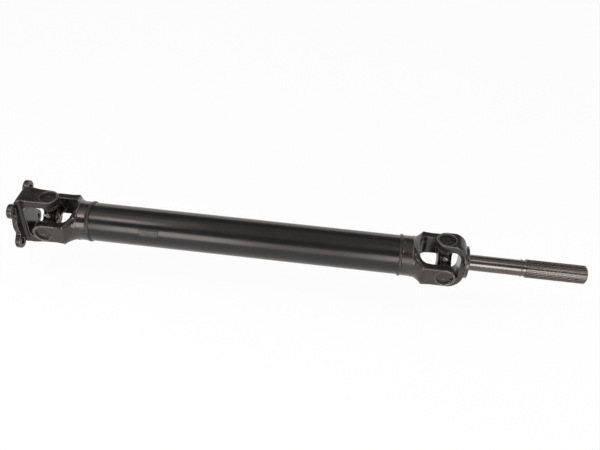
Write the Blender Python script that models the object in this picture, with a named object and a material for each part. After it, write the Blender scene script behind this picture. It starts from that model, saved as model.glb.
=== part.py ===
"""Universal joint shaft: a flange yoke, a tube between two cross joints, and a yoke with a splined stub.

The shaft lies along +X. The origin is the centre of the flange's mounting face, and +Z is up.
The two weld yokes hold their bearings across the shaft, along Y. The flange yoke and the stub yoke
hold theirs along Z. Sizes are in metres.
"""

import math

import bmesh
import bpy
from mathutils import Matrix, Vector

# Clearances. Pressed pieces keep SEAT_GAP to their seats, and turning pieces keep RUN_GAP.
SEAT_GAP = 0.0003
RUN_GAP = 0.0003

# Places along the shaft.
FLANGE_TO_JOINT = 0.0553
JOINT_TO_JOINT = 0.6627
JOINT_TO_STUB_END = 0.2275

# Tube between the weld yokes, and the weld that joins it to them.
TUBE_RADIUS = 0.0325
TUBE_WALL = 0.0024
JOINT_TO_WELD = 0.0716
SPIGOT_LENGTH = 0.016
SPIGOT_CHAMFER = 0.0015
BEAD_HEIGHT = 0.0022
BEAD_WIDTH = 0.0055
TUBE_SEGMENTS = 36

# Balance weight, a curved plate on the front end of the tube.
WEIGHT_LENGTH = 0.033
WEIGHT_ARC_WIDTH = 0.0125
WEIGHT_THICKNESS = 0.0012
WEIGHT_FROM_WELD = 0.089
WEIGHT_ANGLE = math.radians(23)
WEIGHT_STEPS = 6

# Bearing caps, the same in all eight ears. Heights are measured along the trunnion from the joint's centre.
CAP_RADIUS = 0.0135
CAP_FACE = 0.041
CAP_LENGTH = 0.0155
CAP_WALL = 0.0022
CAP_FLOOR = 0.0026
CAP_CHAMFER = 0.0008
CAP_DISH_RADIUS = 0.0058
CAP_DISH_DEPTH = 0.0007
CAP_SEGMENTS = 16

# Snap ring that locks a cap in its ear. EAR_FACE is the ear's outer face.
EAR_FACE = 0.0446
SNAP_RING_THICKNESS = 0.0013
SNAP_RING_SECTION = 0.0021
SNAP_GROOVE_DEPTH = 0.0008
SNAP_OPENING = math.radians(40)
SNAP_LUG_LENGTH = 0.0022
SNAP_LUG_ARC = math.radians(14)

# Trunnions of a cross, and what runs on them.
JOURNAL_RADIUS = 0.0087
SHOULDER_RADIUS = 0.0118
SHOULDER_HEIGHT = 0.0222
CROSS_BODY_RADIUS = 0.0175
CROSS_BODY_THICKNESS = 0.0215
JOURNAL_CHAMFER = 0.0008
NEEDLE_COUNT = 14
NEEDLE_LENGTH = 0.0095
WASHER_THICKNESS = 0.001
WASHER_HOLE_RADIUS = 0.003
SEAL_FLANGE_THICKNESS = 0.0022
SEAL_FLANGE_RADIUS = 0.0131
SEAL_SLEEVE_LENGTH = 0.0014

# Grease nipple, on a boss between two trunnions.
NIPPLE_BOSS_RADIUS = 0.0048
NIPPLE_BOSS_HEIGHT = 0.0215
NIPPLE_HEX_RADIUS = 0.0042
NIPPLE_HEX_LENGTH = 0.0042
NIPPLE_NECK_RADIUS = 0.0022
NIPPLE_BALL_RADIUS = 0.0033
NIPPLE_LENGTH = 0.0125

# Ears, the same on all four yokes.
EAR_RADIUS = 0.0173
EAR_INNER_FACE = 0.0315
EAR_CORNER = 0.0018
EAR_ROUND_STEPS = 4
SECTION_STEPS = 5

# Weld yoke, from the joint's centre towards the tube.
WELD_SADDLE = 0.0405
WELD_ARCH_LENGTH = 0.014
WELD_ARCH_CORNER = 0.015
WELD_SHOULDER = 0.0525
WELD_SWELL_AT = 0.036
WELD_SWELL_HEIGHT = 0.0455
WELD_SWELL_WIDTH = 0.0190
WELD_HUB_RADIUS = 0.0332
WELD_SHOULDER_STEP = 0.0012

# Flange yoke, from the joint's centre towards the flange.
FLANGE_THICKNESS = 0.0090
FLANGE_DISC_RADIUS = 0.0365
FLANGE_BOLT_CIRCLE_RADIUS = 0.046
FLANGE_BOLT_HOLE_RADIUS = 0.00525
FLANGE_LUG_RADIUS = 0.0125
FLANGE_ROOT_FILLET = 0.005
FLANGE_SADDLE = 0.0390
FLANGE_ARCH_LENGTH = 0.008
FLANGE_ARCH_CORNER = 0.009
FLANGE_EAR_ROOT_HEIGHT = 0.0463
FLANGE_EAR_ROOT_WIDTH = 0.0192
FLANGE_EAR_ROOT_FILLET = 0.004
FLANGE_EDGE_CHAMFER = 0.0008
LUG_ARC_STEPS = 8
BOLT_HOLE_SEGMENTS = 12

# Stub yoke, from the joint's centre towards the spline.
STUB_SADDLE = 0.0245
STUB_ARCH_LENGTH = 0.012
STUB_ARCH_CORNER = 0.014
STUB_CROWN_END = 0.033
STUB_COLLAR_RADIUS = 0.0265
STUB_COLLAR_END = 0.0385
STUB_SHAFT_RADIUS = 0.0131
STUB_FILLET = 0.003
SPLINE_LENGTH = 0.0975
SPLINE_GROOVE_LENGTH = 0.0045
SPLINE_RING_LENGTH = 0.0025
SPLINE_RING_RADIUS = 0.0142
SPLINE_OUTER_RADIUS = 0.0149
SPLINE_ROOT_RADIUS = 0.0133
SPLINE_TEETH = 28
SPLINE_END_CHAMFER = 0.003

# Reach of a cutter past what it cuts.
CUTTER_MARGIN = 0.02
SMOOTH_ANGLE = math.radians(32)

# Places worked out from the sizes above.
FRONT_JOINT = FLANGE_TO_JOINT
REAR_JOINT = FLANGE_TO_JOINT + JOINT_TO_JOINT
FRONT_WELD = FRONT_JOINT + JOINT_TO_WELD
REAR_WELD = REAR_JOINT - JOINT_TO_WELD
TUBE_INNER_RADIUS = TUBE_RADIUS - TUBE_WALL
CAP_MOUTH = CAP_FACE - CAP_LENGTH
CAP_INNER_RADIUS = CAP_RADIUS - CAP_WALL
CAP_INNER_FACE = CAP_FACE - CAP_FLOOR
WASHER_TOP = CAP_INNER_FACE - SEAT_GAP
JOURNAL_END = WASHER_TOP - WASHER_THICKNESS - RUN_GAP
NEEDLE_TOP = WASHER_TOP - WASHER_THICKNESS - RUN_GAP
SEAL_TOP = CAP_MOUTH + SEAL_SLEEVE_LENGTH
SEAL_BOTTOM = SHOULDER_HEIGHT + RUN_GAP
EAR_BORE_RADIUS = CAP_RADIUS + SEAT_GAP
SNAP_RING_BASE = CAP_FACE + SEAT_GAP
SNAP_GROOVE_RADIUS = EAR_BORE_RADIUS + SNAP_GROOVE_DEPTH
STUB_SPLINE_START = JOINT_TO_STUB_END - SPLINE_LENGTH


# Materials.
def material(name, colour, roughness, metallic):
    """A plain Principled BSDF finish."""
    finish = bpy.data.materials.new(name)
    finish.use_nodes = True
    shader = finish.node_tree.nodes["Principled BSDF"]
    shader.inputs["Base Color"].default_value = (*colour, 1.0)
    shader.inputs["Roughness"].default_value = roughness
    shader.inputs["Metallic"].default_value = metallic
    return finish


def make_materials():
    """Every finish of the shaft, by name."""
    return {
        "black_paint": material("black_paint", (0.022, 0.021, 0.020), 0.38, 0.0),
        "weld_metal": material("weld_metal", (0.028, 0.026, 0.025), 0.45, 0.2),
        "bearing_steel": material("bearing_steel", (0.20, 0.19, 0.18), 0.32, 0.9),
        "cross_steel": material("cross_steel", (0.06, 0.05, 0.045), 0.42, 0.7),
        "machined_steel": material("machined_steel", (0.32, 0.30, 0.29), 0.30, 1.0),
        "seal_rubber": material("seal_rubber", (0.02, 0.02, 0.02), 0.7, 0.0),
        "zinc_plate": material("zinc_plate", (0.55, 0.50, 0.46), 0.3, 1.0),
        "washer_plastic": material("washer_plastic", (0.75, 0.72, 0.62), 0.5, 0.0),
    }


# Mesh tools.
def lathe(profile, segments, turn=math.tau):
    """A closed (along, radius) profile spun about Z. Points at radius 0 close on the axis."""
    shape = bmesh.new()
    ring = [shape.verts.new((radius, 0.0, along)) for along, radius in profile]
    edges = []
    for i, (_, radius) in enumerate(profile):
        if radius > 0 or profile[i - 1][1] > 0:
            edges.append(shape.edges.new((ring[i - 1], ring[i])))
    whole = turn == math.tau
    if not whole:
        shape.faces.new(ring)
    bmesh.ops.spin(
        shape,
        geom=ring + edges + list(shape.faces),
        cent=(0, 0, 0),
        axis=(0, 0, 1),
        angle=turn,
        steps=segments,
        use_merge=whole,
    )
    return tidy(shape)


def tidy(shape):
    """Merges points that meet, drops empty faces and turns every face outwards."""
    bmesh.ops.remove_doubles(shape, verts=shape.verts, dist=1e-7)
    bmesh.ops.dissolve_degenerate(shape, dist=1e-7, edges=shape.edges)
    bmesh.ops.recalc_face_normals(shape, faces=shape.faces)
    return shape


def along_x(shape):
    """Turns a shape made about Z so that its +Z side points along +X."""
    turn = Matrix.Rotation(math.radians(90), 4, "Y")
    bmesh.ops.transform(shape, matrix=turn, verts=shape.verts)
    return shape


def prism(outline, low, high, to_point):
    """An outline of (a, b) pairs carried from low to high, where to_point(a, b, height) places a corner."""
    shape = bmesh.new()
    base = shape.faces.new([shape.verts.new(to_point(a, b, low)) for a, b in outline])
    moved = bmesh.ops.extrude_face_region(shape, geom=[base])
    top = [item for item in moved["geom"] if isinstance(item, bmesh.types.BMVert)]
    a, b = outline[0]
    shift = Vector(to_point(a, b, high)) - Vector(to_point(a, b, low))
    bmesh.ops.translate(shape, verts=top, vec=shift)
    return tidy(shape)


def section(x, half_width, half_height, corner):
    """A rounded rectangle across the shaft at x, with the same points for every size, as far as a full circle."""
    corner = min(corner, half_width, half_height)
    points = []
    for quarter, (side_y, side_z) in enumerate(((1, 1), (-1, 1), (-1, -1), (1, -1))):
        centre_y = side_y * (half_width - corner)
        centre_z = side_z * (half_height - corner)
        for step in range(SECTION_STEPS + 1):
            angle = math.radians(90) * (quarter + step / SECTION_STEPS)
            points.append(
                (x, centre_y + corner * math.cos(angle), centre_z + corner * math.sin(angle))
            )
    return points


def loft(sections):
    """A closed skin over sections that all have the same number of points."""
    shape = bmesh.new()
    rings = [[shape.verts.new(point) for point in points] for points in sections]
    count = len(rings[0])
    for first, second in zip(rings, rings[1:]):
        for i in range(count):
            j = (i + 1) % count
            shape.faces.new((first[i], first[j], second[j], second[i]))
    shape.faces.new(rings[0])
    shape.faces.new(rings[-1])
    return tidy(shape)


# Scene tools.
def place(name, shape, finish, parent, matrix=None):
    """Makes the object of one sub-part, in its parent's frame."""
    mesh = bpy.data.meshes.new(name)
    if matrix is not None:
        bmesh.ops.transform(shape, matrix=matrix, verts=shape.verts)
    shape.to_mesh(mesh)
    shape.free()
    mesh.shade_smooth()
    mesh.set_sharp_from_angle(angle=SMOOTH_ANGLE)
    if finish is not None:
        mesh.materials.append(finish)
    made = bpy.data.objects.new(name, mesh)
    bpy.context.scene.collection.objects.link(made)
    made.parent = parent
    return made


def combine(target, name, shape, operation):
    """Joins a hidden helper shape to the target, or cuts it out."""
    helper = place(name, shape, None, target)
    helper.hide_render = True
    helper.display_type = "WIRE"
    step = target.modifiers.new(name, "BOOLEAN")
    step.operation = operation
    step.solver = "EXACT"
    step.object = helper


def frame_at(name, x, parent=None):
    """An empty on the shaft's axis, which carries what turns about that joint."""
    empty = bpy.data.objects.new(name, None)
    bpy.context.scene.collection.objects.link(empty)
    empty.parent = parent
    empty.location = (x, 0, 0)
    return empty


def about_x(degrees):
    """Turns a piece about the shaft."""
    return Matrix.Rotation(math.radians(degrees), 4, "X")


# Shapes that all four yokes share. A yoke is made with its ears along Z and its base towards +X.
def ear_sections():
    """Sections of both ears together, from their round tips to the bearing axis."""
    sections = []
    for step in range(EAR_ROUND_STEPS):
        angle = math.radians(80) * (1 - step / EAR_ROUND_STEPS)
        half_width = EAR_RADIUS * math.cos(angle)
        sections.append(section(-EAR_RADIUS * math.sin(angle), half_width, EAR_FACE, EAR_CORNER))
    sections.append(section(0, EAR_RADIUS, EAR_FACE, EAR_CORNER))
    return sections


def arch_cutter(saddle, length, corner):
    """The space between two ears: flat inner faces, and rounded corners that run into the saddle."""
    steps = 6
    half = []
    for step in range(steps + 1):
        angle = math.radians(90) * step / steps
        half.append(
            (
                saddle - length + length * math.sin(angle),
                EAR_INNER_FACE - corner + corner * math.cos(angle),
            )
        )
    outline = half + [(a, -b) for a, b in reversed(half)]
    tip = -EAR_RADIUS - CUTTER_MARGIN
    outline.append((tip, -EAR_INNER_FACE))
    outline.append((tip, EAR_INNER_FACE))
    reach = TUBE_RADIUS + CUTTER_MARGIN
    return prism(outline, -reach, reach, lambda a, b, height: (a, height, b))


def bore_cutter():
    """Both ears' bores with their snap ring grooves, about Z."""
    end = EAR_FACE + CUTTER_MARGIN
    low = CAP_FACE
    high = SNAP_RING_BASE + SNAP_RING_THICKNESS + SEAT_GAP
    half = [(low, EAR_BORE_RADIUS), (low, SNAP_GROOVE_RADIUS)]
    half += [(high, SNAP_GROOVE_RADIUS), (high, EAR_BORE_RADIUS), (end, EAR_BORE_RADIUS)]
    other = [(-along, radius) for along, radius in reversed(half)]
    return lathe([(-end, 0.0)] + other + half + [(end, 0.0)], CAP_SEGMENTS)


def cut_ears(yoke, saddle, length, corner, turn):
    """Opens a yoke between its ears and bores them."""
    arch = arch_cutter(saddle, length, corner)
    bore = bore_cutter()
    for shape in (arch, bore):
        bmesh.ops.transform(shape, matrix=turn, verts=shape.verts)
    combine(yoke, yoke.name + "_arch", arch, "DIFFERENCE")
    combine(yoke, yoke.name + "_bores", bore, "DIFFERENCE")


# The yokes.
def weld_yoke_shape():
    """Ears, a swelling at their root, a step down to a round hub, and the spigot inside the tube."""
    hub = WELD_HUB_RADIUS
    spigot = TUBE_INNER_RADIUS - SEAT_GAP
    seam = JOINT_TO_WELD - SEAT_GAP / 2
    end = JOINT_TO_WELD + SPIGOT_LENGTH
    sections = ear_sections()
    sections.append(section(WELD_SWELL_AT * 0.6, EAR_RADIUS, EAR_FACE, EAR_CORNER))
    blend = WELD_SHOULDER - WELD_SWELL_AT
    end_radius = hub + WELD_SHOULDER_STEP
    steps = 5
    for step in range(steps + 1):
        share = step / steps
        fall = (1 - math.cos(math.pi * share)) / 2
        sections.append(
            section(
                WELD_SWELL_AT + blend * share,
                WELD_SWELL_WIDTH + (end_radius - WELD_SWELL_WIDTH) * share**1.5,
                WELD_SWELL_HEIGHT + (end_radius - WELD_SWELL_HEIGHT) * fall,
                EAR_CORNER * 2 + (end_radius - EAR_CORNER * 2) * share**1.1,
            )
        )
    neck = seam - BEAD_WIDTH / 2 - SEAT_GAP
    for x, radius in (
        (WELD_SHOULDER + WELD_SHOULDER_STEP / 2, hub),
        (neck - (hub - TUBE_RADIUS) * 1.5, hub),
        (neck, TUBE_RADIUS),
        (seam, TUBE_RADIUS),
        (seam, spigot),
        (end - SPIGOT_CHAMFER, spigot),
        (end, spigot - SPIGOT_CHAMFER),
    ):
        sections.append(section(x, radius, radius, radius))
    return loft(sections)


def make_weld_yoke(name, parent, finish, side):
    """A weld yoke with its ears along Y and its hub towards the tube, on the +X side or the -X side."""
    turn = about_x(90) if side > 0 else Matrix.Rotation(math.pi, 4, "Z") @ about_x(90)
    yoke = place(name, weld_yoke_shape(), finish, parent, turn)
    cut_ears(yoke, WELD_SADDLE, WELD_ARCH_LENGTH, WELD_ARCH_CORNER, turn)
    return yoke


def flange_outline():
    """Four bolt lugs, blended into a round disc by concave fillets. The lugs lie between the ears."""
    side = FLANGE_LUG_RADIUS
    fillet = FLANGE_ROOT_FILLET
    centre_out = math.sqrt((FLANGE_DISC_RADIUS + fillet) ** 2 - (side + fillet) ** 2)
    start = math.atan2(side + fillet, centre_out)
    half_lug = []
    for step in range(LUG_ARC_STEPS // 2 + 1):
        angle = math.pi * step / LUG_ARC_STEPS
        half_lug.append(
            (FLANGE_BOLT_CIRCLE_RADIUS + side * math.cos(angle), side * math.sin(angle))
        )
    for step in range(4):
        angle = -math.pi / 2 - (math.pi / 2 - start) * step / 3
        half_lug.append(
            (centre_out + fillet * math.cos(angle), side + fillet + fillet * math.sin(angle))
        )
    lug = [(a, -b) for a, b in reversed(half_lug[1:])] + half_lug
    outline = []
    for quarter in range(4):
        centre = math.radians(45 + 90 * quarter)
        for a, b in lug:
            outline.append(
                (
                    a * math.cos(centre) - b * math.sin(centre),
                    a * math.sin(centre) + b * math.cos(centre),
                )
            )
        middle = centre + math.radians(45)
        outline.append(
            (FLANGE_DISC_RADIUS * math.cos(middle), FLANGE_DISC_RADIUS * math.sin(middle))
        )
    return outline


def flange_yoke_shape():
    """Both ears with their root, as far as half way into the flange."""
    face = FLANGE_TO_JOINT - FLANGE_THICKNESS
    sections = ear_sections()
    root = (FLANGE_EAR_ROOT_WIDTH, FLANGE_EAR_ROOT_HEIGHT)
    sections.append(section(FLANGE_SADDLE * 0.85, *root, EAR_CORNER * 1.2))
    sections.append(section(face - FLANGE_EAR_ROOT_FILLET, *root, EAR_CORNER * 1.5))
    drop = root[1] - FLANGE_DISC_RADIUS
    steps = 3
    for step in range(1, steps + 1):
        share = step / steps
        sections.append(
            section(
                face + (FLANGE_THICKNESS - FLANGE_EDGE_CHAMFER) * share,
                root[0] + FLANGE_EAR_ROOT_FILLET / 2,
                root[1] - drop * share**1.5,
                EAR_CORNER * 2.4,
            )
        )
    return loft(sections)


def make_flange_yoke(parent, finish):
    """The yoke that bolts on: ears along Z, and a flange with four bolt lugs."""
    turn = Matrix.Rotation(math.pi, 4, "Z")
    yoke = place("flange_yoke", flange_yoke_shape(), finish, parent, turn)
    back = -FLANGE_TO_JOINT
    front = back + FLANGE_THICKNESS
    plate = prism(flange_outline(), back, front, lambda a, b, height: (height, a, b))
    edges = [edge for edge in plate.edges if edge.calc_face_angle(0) > math.radians(60)]
    bmesh.ops.bevel(plate, geom=edges, offset=FLANGE_EDGE_CHAMFER, segments=1, affect="EDGES")
    combine(yoke, "flange_yoke_plate", plate, "UNION")
    cut_ears(yoke, FLANGE_SADDLE, FLANGE_ARCH_LENGTH, FLANGE_ARCH_CORNER, turn)
    for quarter in range(4):
        angle = math.radians(45 + 90 * quarter)
        hole = lathe(
            [
                (-CUTTER_MARGIN, 0.0),
                (-CUTTER_MARGIN, FLANGE_BOLT_HOLE_RADIUS),
                (CUTTER_MARGIN, FLANGE_BOLT_HOLE_RADIUS),
                (CUTTER_MARGIN, 0.0),
            ],
            BOLT_HOLE_SEGMENTS,
        )
        along_x(hole)
        middle = (
            (back + front) / 2,
            FLANGE_BOLT_CIRCLE_RADIUS * math.cos(angle),
            FLANGE_BOLT_CIRCLE_RADIUS * math.sin(angle),
        )
        bmesh.ops.translate(hole, verts=hole.verts, vec=middle)
        combine(yoke, f"flange_yoke_hole_{quarter + 1}", hole, "DIFFERENCE")
    return yoke


def stub_yoke_shape():
    """Ears, a rounded crown, a turned collar and the plain length of the stub."""
    sections = ear_sections()
    groove = STUB_SPLINE_START - SPLINE_GROOVE_LENGTH
    ring = groove - SPLINE_RING_LENGTH
    crown_from = STUB_SADDLE / 2
    drop = EAR_FACE - STUB_COLLAR_RADIUS
    steps = 6
    for step in range(1, steps + 1):
        angle = math.radians(90) * step / steps
        share = step / steps
        sections.append(
            section(
                crown_from + (STUB_CROWN_END - crown_from) * math.sin(angle),
                EAR_RADIUS + (STUB_COLLAR_RADIUS - EAR_RADIUS) * share**2,
                EAR_FACE - drop * (1 - math.cos(angle)),
                EAR_CORNER + (STUB_COLLAR_RADIUS - EAR_CORNER) * share**1.5,
            )
        )
    for x, radius in (
        (STUB_COLLAR_END - 0.001, STUB_COLLAR_RADIUS),
        (STUB_COLLAR_END, STUB_COLLAR_RADIUS - 0.001),
        (STUB_COLLAR_END, STUB_SHAFT_RADIUS + STUB_FILLET),
        (STUB_COLLAR_END + STUB_FILLET * 0.3, STUB_SHAFT_RADIUS + STUB_FILLET * 0.3),
        (STUB_COLLAR_END + STUB_FILLET, STUB_SHAFT_RADIUS),
        (ring, STUB_SHAFT_RADIUS),
        (ring + 0.0006, SPLINE_RING_RADIUS),
        (groove - 0.0006, SPLINE_RING_RADIUS),
        (groove, STUB_SHAFT_RADIUS),
        (STUB_SPLINE_START + 0.004, STUB_SHAFT_RADIUS),
    ):
        sections.append(section(x, radius, radius, radius))
    return loft(sections)


def spline_ring(x, outer):
    """One ring of the spline across the shaft: each tooth has a narrow crest and a wider root."""
    pitch = math.tau / SPLINE_TEETH
    corners = (
        (-0.34, SPLINE_ROOT_RADIUS),
        (-0.17, outer),
        (0.17, outer),
        (0.34, SPLINE_ROOT_RADIUS),
    )
    points = []
    for tooth in range(SPLINE_TEETH):
        for share, radius in corners:
            angle = pitch * (tooth + share)
            points.append((x, radius * math.cos(angle), radius * math.sin(angle)))
    return points


def spline_shape():
    """The splined end: straight teeth from a chamfered start to a chamfered tip."""
    start = STUB_SPLINE_START
    end = JOINT_TO_STUB_END
    flat = SPLINE_ROOT_RADIUS
    top = SPLINE_OUTER_RADIUS
    rings = [
        (start, flat + 0.0002),
        (start + 0.0008, top),
        (end - SPLINE_END_CHAMFER, top),
        (end - SPLINE_END_CHAMFER * 0.5, flat + 0.0002),
    ]
    sections = [spline_ring(x, outer) for x, outer in rings]
    tip = spline_ring(end, flat)
    scale = (flat - SPLINE_END_CHAMFER * 0.5) / flat
    sections.append([(x, y * scale, z * scale) for x, y, z in tip])
    return loft(sections)


def make_stub_yoke(parent, finish):
    """The yoke with its splined stub, ears along Z."""
    yoke = place("stub_yoke", stub_yoke_shape(), finish, parent)
    combine(yoke, "stub_yoke_spline", spline_shape(), "UNION")
    cut_ears(yoke, STUB_SADDLE, STUB_ARCH_LENGTH, STUB_ARCH_CORNER, Matrix.Identity(4))
    return yoke


# Tube, welds and balance weight.
def make_tube(parent, finish):
    """The plain tube between the two weld yokes."""
    half = (REAR_WELD - FRONT_WELD) / 2 - SEAT_GAP / 2
    shape = lathe(
        [
            (-half, TUBE_INNER_RADIUS),
            (-half, TUBE_RADIUS),
            (half, TUBE_RADIUS),
            (half, TUBE_INNER_RADIUS),
        ],
        TUBE_SEGMENTS,
    )
    along_x(shape)
    middle = Matrix.Translation(((FRONT_WELD + REAR_WELD) / 2, 0, 0))
    return place("tube", shape, finish, parent, middle)


def make_bead(name, x, parent, finish):
    """A raised ring of weld over the seam between the tube and a weld yoke."""
    inner = TUBE_RADIUS + SEAT_GAP
    half = BEAD_WIDTH / 2
    profile = [(-half, inner)]
    steps = 4
    for step in range(steps + 1):
        angle = math.pi * (1 - step / steps)
        profile.append(
            (half * math.cos(angle), inner + 0.0002 + (BEAD_HEIGHT - 0.0005) * math.sin(angle))
        )
    profile.append((half, inner))
    shape = along_x(lathe(profile, TUBE_SEGMENTS))
    return place(name, shape, finish, parent, Matrix.Translation((x, 0, 0)))


def make_balance_weight(parent, finish):
    """A thin plate curved to the tube, on the side of the shaft."""
    inner = TUBE_RADIUS + SEAT_GAP
    outer = inner + WEIGHT_THICKNESS
    half = WEIGHT_ARC_WIDTH / 2 / TUBE_RADIUS
    arc = [WEIGHT_ANGLE - half + 2 * half * step / WEIGHT_STEPS for step in range(WEIGHT_STEPS + 1)]
    outline = [(-inner * math.cos(a), inner * math.sin(a)) for a in arc]
    outline += [(-outer * math.cos(a), outer * math.sin(a)) for a in reversed(arc)]
    low = FRONT_WELD + WEIGHT_FROM_WELD
    shape = prism(outline, low, low + WEIGHT_LENGTH, lambda a, b, height: (height, a, b))
    return place("balance_weight", shape, finish, parent)


# The crosses.
def trunnion_profile():
    """One trunnion pair, from end to end, as a closed profile along its axis."""
    half = [
        (SHOULDER_HEIGHT, SHOULDER_RADIUS),
        (SHOULDER_HEIGHT, JOURNAL_RADIUS),
        (JOURNAL_END - JOURNAL_CHAMFER, JOURNAL_RADIUS),
        (JOURNAL_END, JOURNAL_RADIUS - JOURNAL_CHAMFER),
        (JOURNAL_END, 0.0),
    ]
    return [(-along, radius) for along, radius in reversed(half)] + half


def make_cross(name, parent, finish):
    """A cross with trunnions along Z and Y, and a drilled seat for its grease nipple."""
    cross = place(name, lathe(trunnion_profile(), CAP_SEGMENTS), finish, parent)
    side = lathe(trunnion_profile(), CAP_SEGMENTS)
    bmesh.ops.transform(side, matrix=about_x(90), verts=side.verts)
    combine(cross, name + "_side_trunnions", side, "UNION")
    half = CROSS_BODY_THICKNESS / 2
    body = along_x(
        lathe(
            [
                (-half, 0.0),
                (-half, CROSS_BODY_RADIUS - 0.003),
                (-half + 0.003, CROSS_BODY_RADIUS),
                (half - 0.003, CROSS_BODY_RADIUS),
                (half, CROSS_BODY_RADIUS - 0.003),
                (half, 0.0),
            ],
            CAP_SEGMENTS,
        )
    )
    bmesh.ops.transform(body, matrix=about_x(180 / CAP_SEGMENTS), verts=body.verts)
    combine(cross, name + "_body", body, "UNION")
    boss = lathe(
        [
            (0.0, 0.0),
            (0.0, NIPPLE_BOSS_RADIUS),
            (NIPPLE_BOSS_HEIGHT, NIPPLE_BOSS_RADIUS),
            (NIPPLE_BOSS_HEIGHT, 0.0),
        ],
        12,
    )
    bmesh.ops.transform(boss, matrix=about_x(45), verts=boss.verts)
    combine(cross, name + "_boss", boss, "UNION")
    return cross


def make_nipple(name, parent, finish):
    """A grease nipple that stands on the cross's boss, towards -Y and +Z."""
    base = NIPPLE_BOSS_HEIGHT + SEAT_GAP
    ball = NIPPLE_BALL_RADIUS
    top = base + NIPPLE_LENGTH
    stem = lathe(
        [
            (base + NIPPLE_HEX_LENGTH * 0.5, 0.0),
            (base + NIPPLE_HEX_LENGTH * 0.5, NIPPLE_NECK_RADIUS),
            (top - 2 * ball, NIPPLE_NECK_RADIUS),
            (top - 1.4 * ball, ball),
            (top - 0.7 * ball, ball),
            (top, 0.45 * ball),
            (top, 0.0),
        ],
        12,
    )
    hexagon = lathe(
        [
            (base, 0.0),
            (base, NIPPLE_HEX_RADIUS),
            (base + NIPPLE_HEX_LENGTH, NIPPLE_HEX_RADIUS),
            (base + NIPPLE_HEX_LENGTH, 0.0),
        ],
        6,
    )
    turn = about_x(45)
    bmesh.ops.transform(stem, matrix=turn, verts=stem.verts)
    nipple = place(name, hexagon, finish, parent, turn)
    combine(nipple, name + "_stem", stem, "UNION")
    return nipple


# What each ear holds. Every shape is made for the ear along +Z.
def cap_shape():
    """A bearing cap: a drawn cup with a shallow dish in its face."""
    inner = CAP_INNER_RADIUS
    return lathe(
        [
            (CAP_FACE - CAP_DISH_DEPTH, 0.0),
            (CAP_FACE - CAP_DISH_DEPTH, CAP_DISH_RADIUS - 0.0012),
            (CAP_FACE, CAP_DISH_RADIUS),
            (CAP_FACE, CAP_RADIUS - CAP_CHAMFER),
            (CAP_FACE - CAP_CHAMFER, CAP_RADIUS),
            (CAP_MOUTH, CAP_RADIUS),
            (CAP_MOUTH, inner),
            (CAP_INNER_FACE, inner),
            (CAP_INNER_FACE, 0.0),
        ],
        CAP_SEGMENTS,
    )


def snap_ring_shape():
    """A flat spring ring, open on one side, with a short lug on each end."""
    base = SNAP_RING_BASE
    top = base + SNAP_RING_THICKNESS
    outer = SNAP_GROOVE_RADIUS - SEAT_GAP
    inner = outer - SNAP_RING_SECTION
    start = SNAP_OPENING / 2
    stops = [start, start + SNAP_LUG_ARC]
    steps = 10
    span = math.tau - 2 * stops[-1]
    stops += [stops[-1] + span * step / steps for step in range(1, steps + 1)]
    stops.append(math.tau - start)
    outline = [(outer * math.cos(a), outer * math.sin(a)) for a in stops]
    back = []
    for i, angle in enumerate(reversed(stops)):
        on_lug = i < 2 or i >= len(stops) - 2
        at_corner = i == 1 or i == len(stops) - 2
        if at_corner and i == len(stops) - 2:
            back.append((inner * math.cos(angle), inner * math.sin(angle)))
        radius = inner - SNAP_LUG_LENGTH if on_lug else inner
        back.append((radius * math.cos(angle), radius * math.sin(angle)))
        if at_corner and i == 1:
            back.append((inner * math.cos(angle), inner * math.sin(angle)))
    return prism(outline + back, base, top, lambda a, b, height: (a, b, height))


def washer_shape():
    """A thin thrust washer between the trunnion's end and the cap's floor."""
    low = WASHER_TOP - WASHER_THICKNESS
    outer = CAP_INNER_RADIUS - SEAT_GAP
    return lathe(
        [
            (low, WASHER_HOLE_RADIUS),
            (low, outer),
            (WASHER_TOP, outer),
            (WASHER_TOP, WASHER_HOLE_RADIUS),
        ],
        CAP_SEGMENTS,
    )


def needle_ring_shape():
    """The full row of needle rollers around a trunnion, side by side, as one ring with a lobe for each."""
    inner = JOURNAL_RADIUS + RUN_GAP
    outer = CAP_INNER_RADIUS - RUN_GAP
    middle = (inner + outer) / 2
    pinch = (outer - inner) * 0.16
    pitch = math.tau / NEEDLE_COUNT
    outside = []
    inside = []
    for needle in range(NEEDLE_COUNT):
        for share, outside_radius, inside_radius in (
            (-0.5, middle + pinch, middle - pinch),
            (0.0, outer, inner),
        ):
            angle = pitch * (needle + share)
            outside.append((outside_radius * math.cos(angle), outside_radius * math.sin(angle)))
            inside.append((inside_radius * math.cos(angle), inside_radius * math.sin(angle)))
    shape = bmesh.new()
    low = NEEDLE_TOP - NEEDLE_LENGTH
    loops = []
    for points, height in ((outside, low), (outside, NEEDLE_TOP), (inside, NEEDLE_TOP), (inside, low)):
        loops.append([shape.verts.new((a, b, height)) for a, b in points])
    count = len(outside)
    for first, second in zip(loops, loops[1:] + loops[:1]):
        for i in range(count):
            j = (i + 1) % count
            shape.faces.new((first[i], first[j], second[j], second[i]))
    return tidy(shape)


def seal_shape():
    """A rubber seal: a flange that covers the cap's mouth, and a sleeve inside it."""
    hole = JOURNAL_RADIUS + RUN_GAP
    sleeve = CAP_INNER_RADIUS - SEAT_GAP
    face = CAP_MOUTH - SEAT_GAP
    low = max(SEAL_BOTTOM, face - SEAL_FLANGE_THICKNESS)
    return lathe(
        [
            (low, hole),
            (low, SEAL_FLANGE_RADIUS),
            (face, SEAL_FLANGE_RADIUS),
            (face, sleeve),
            (SEAL_TOP, sleeve),
            (SEAL_TOP, hole),
        ],
        CAP_SEGMENTS,
    )


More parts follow.
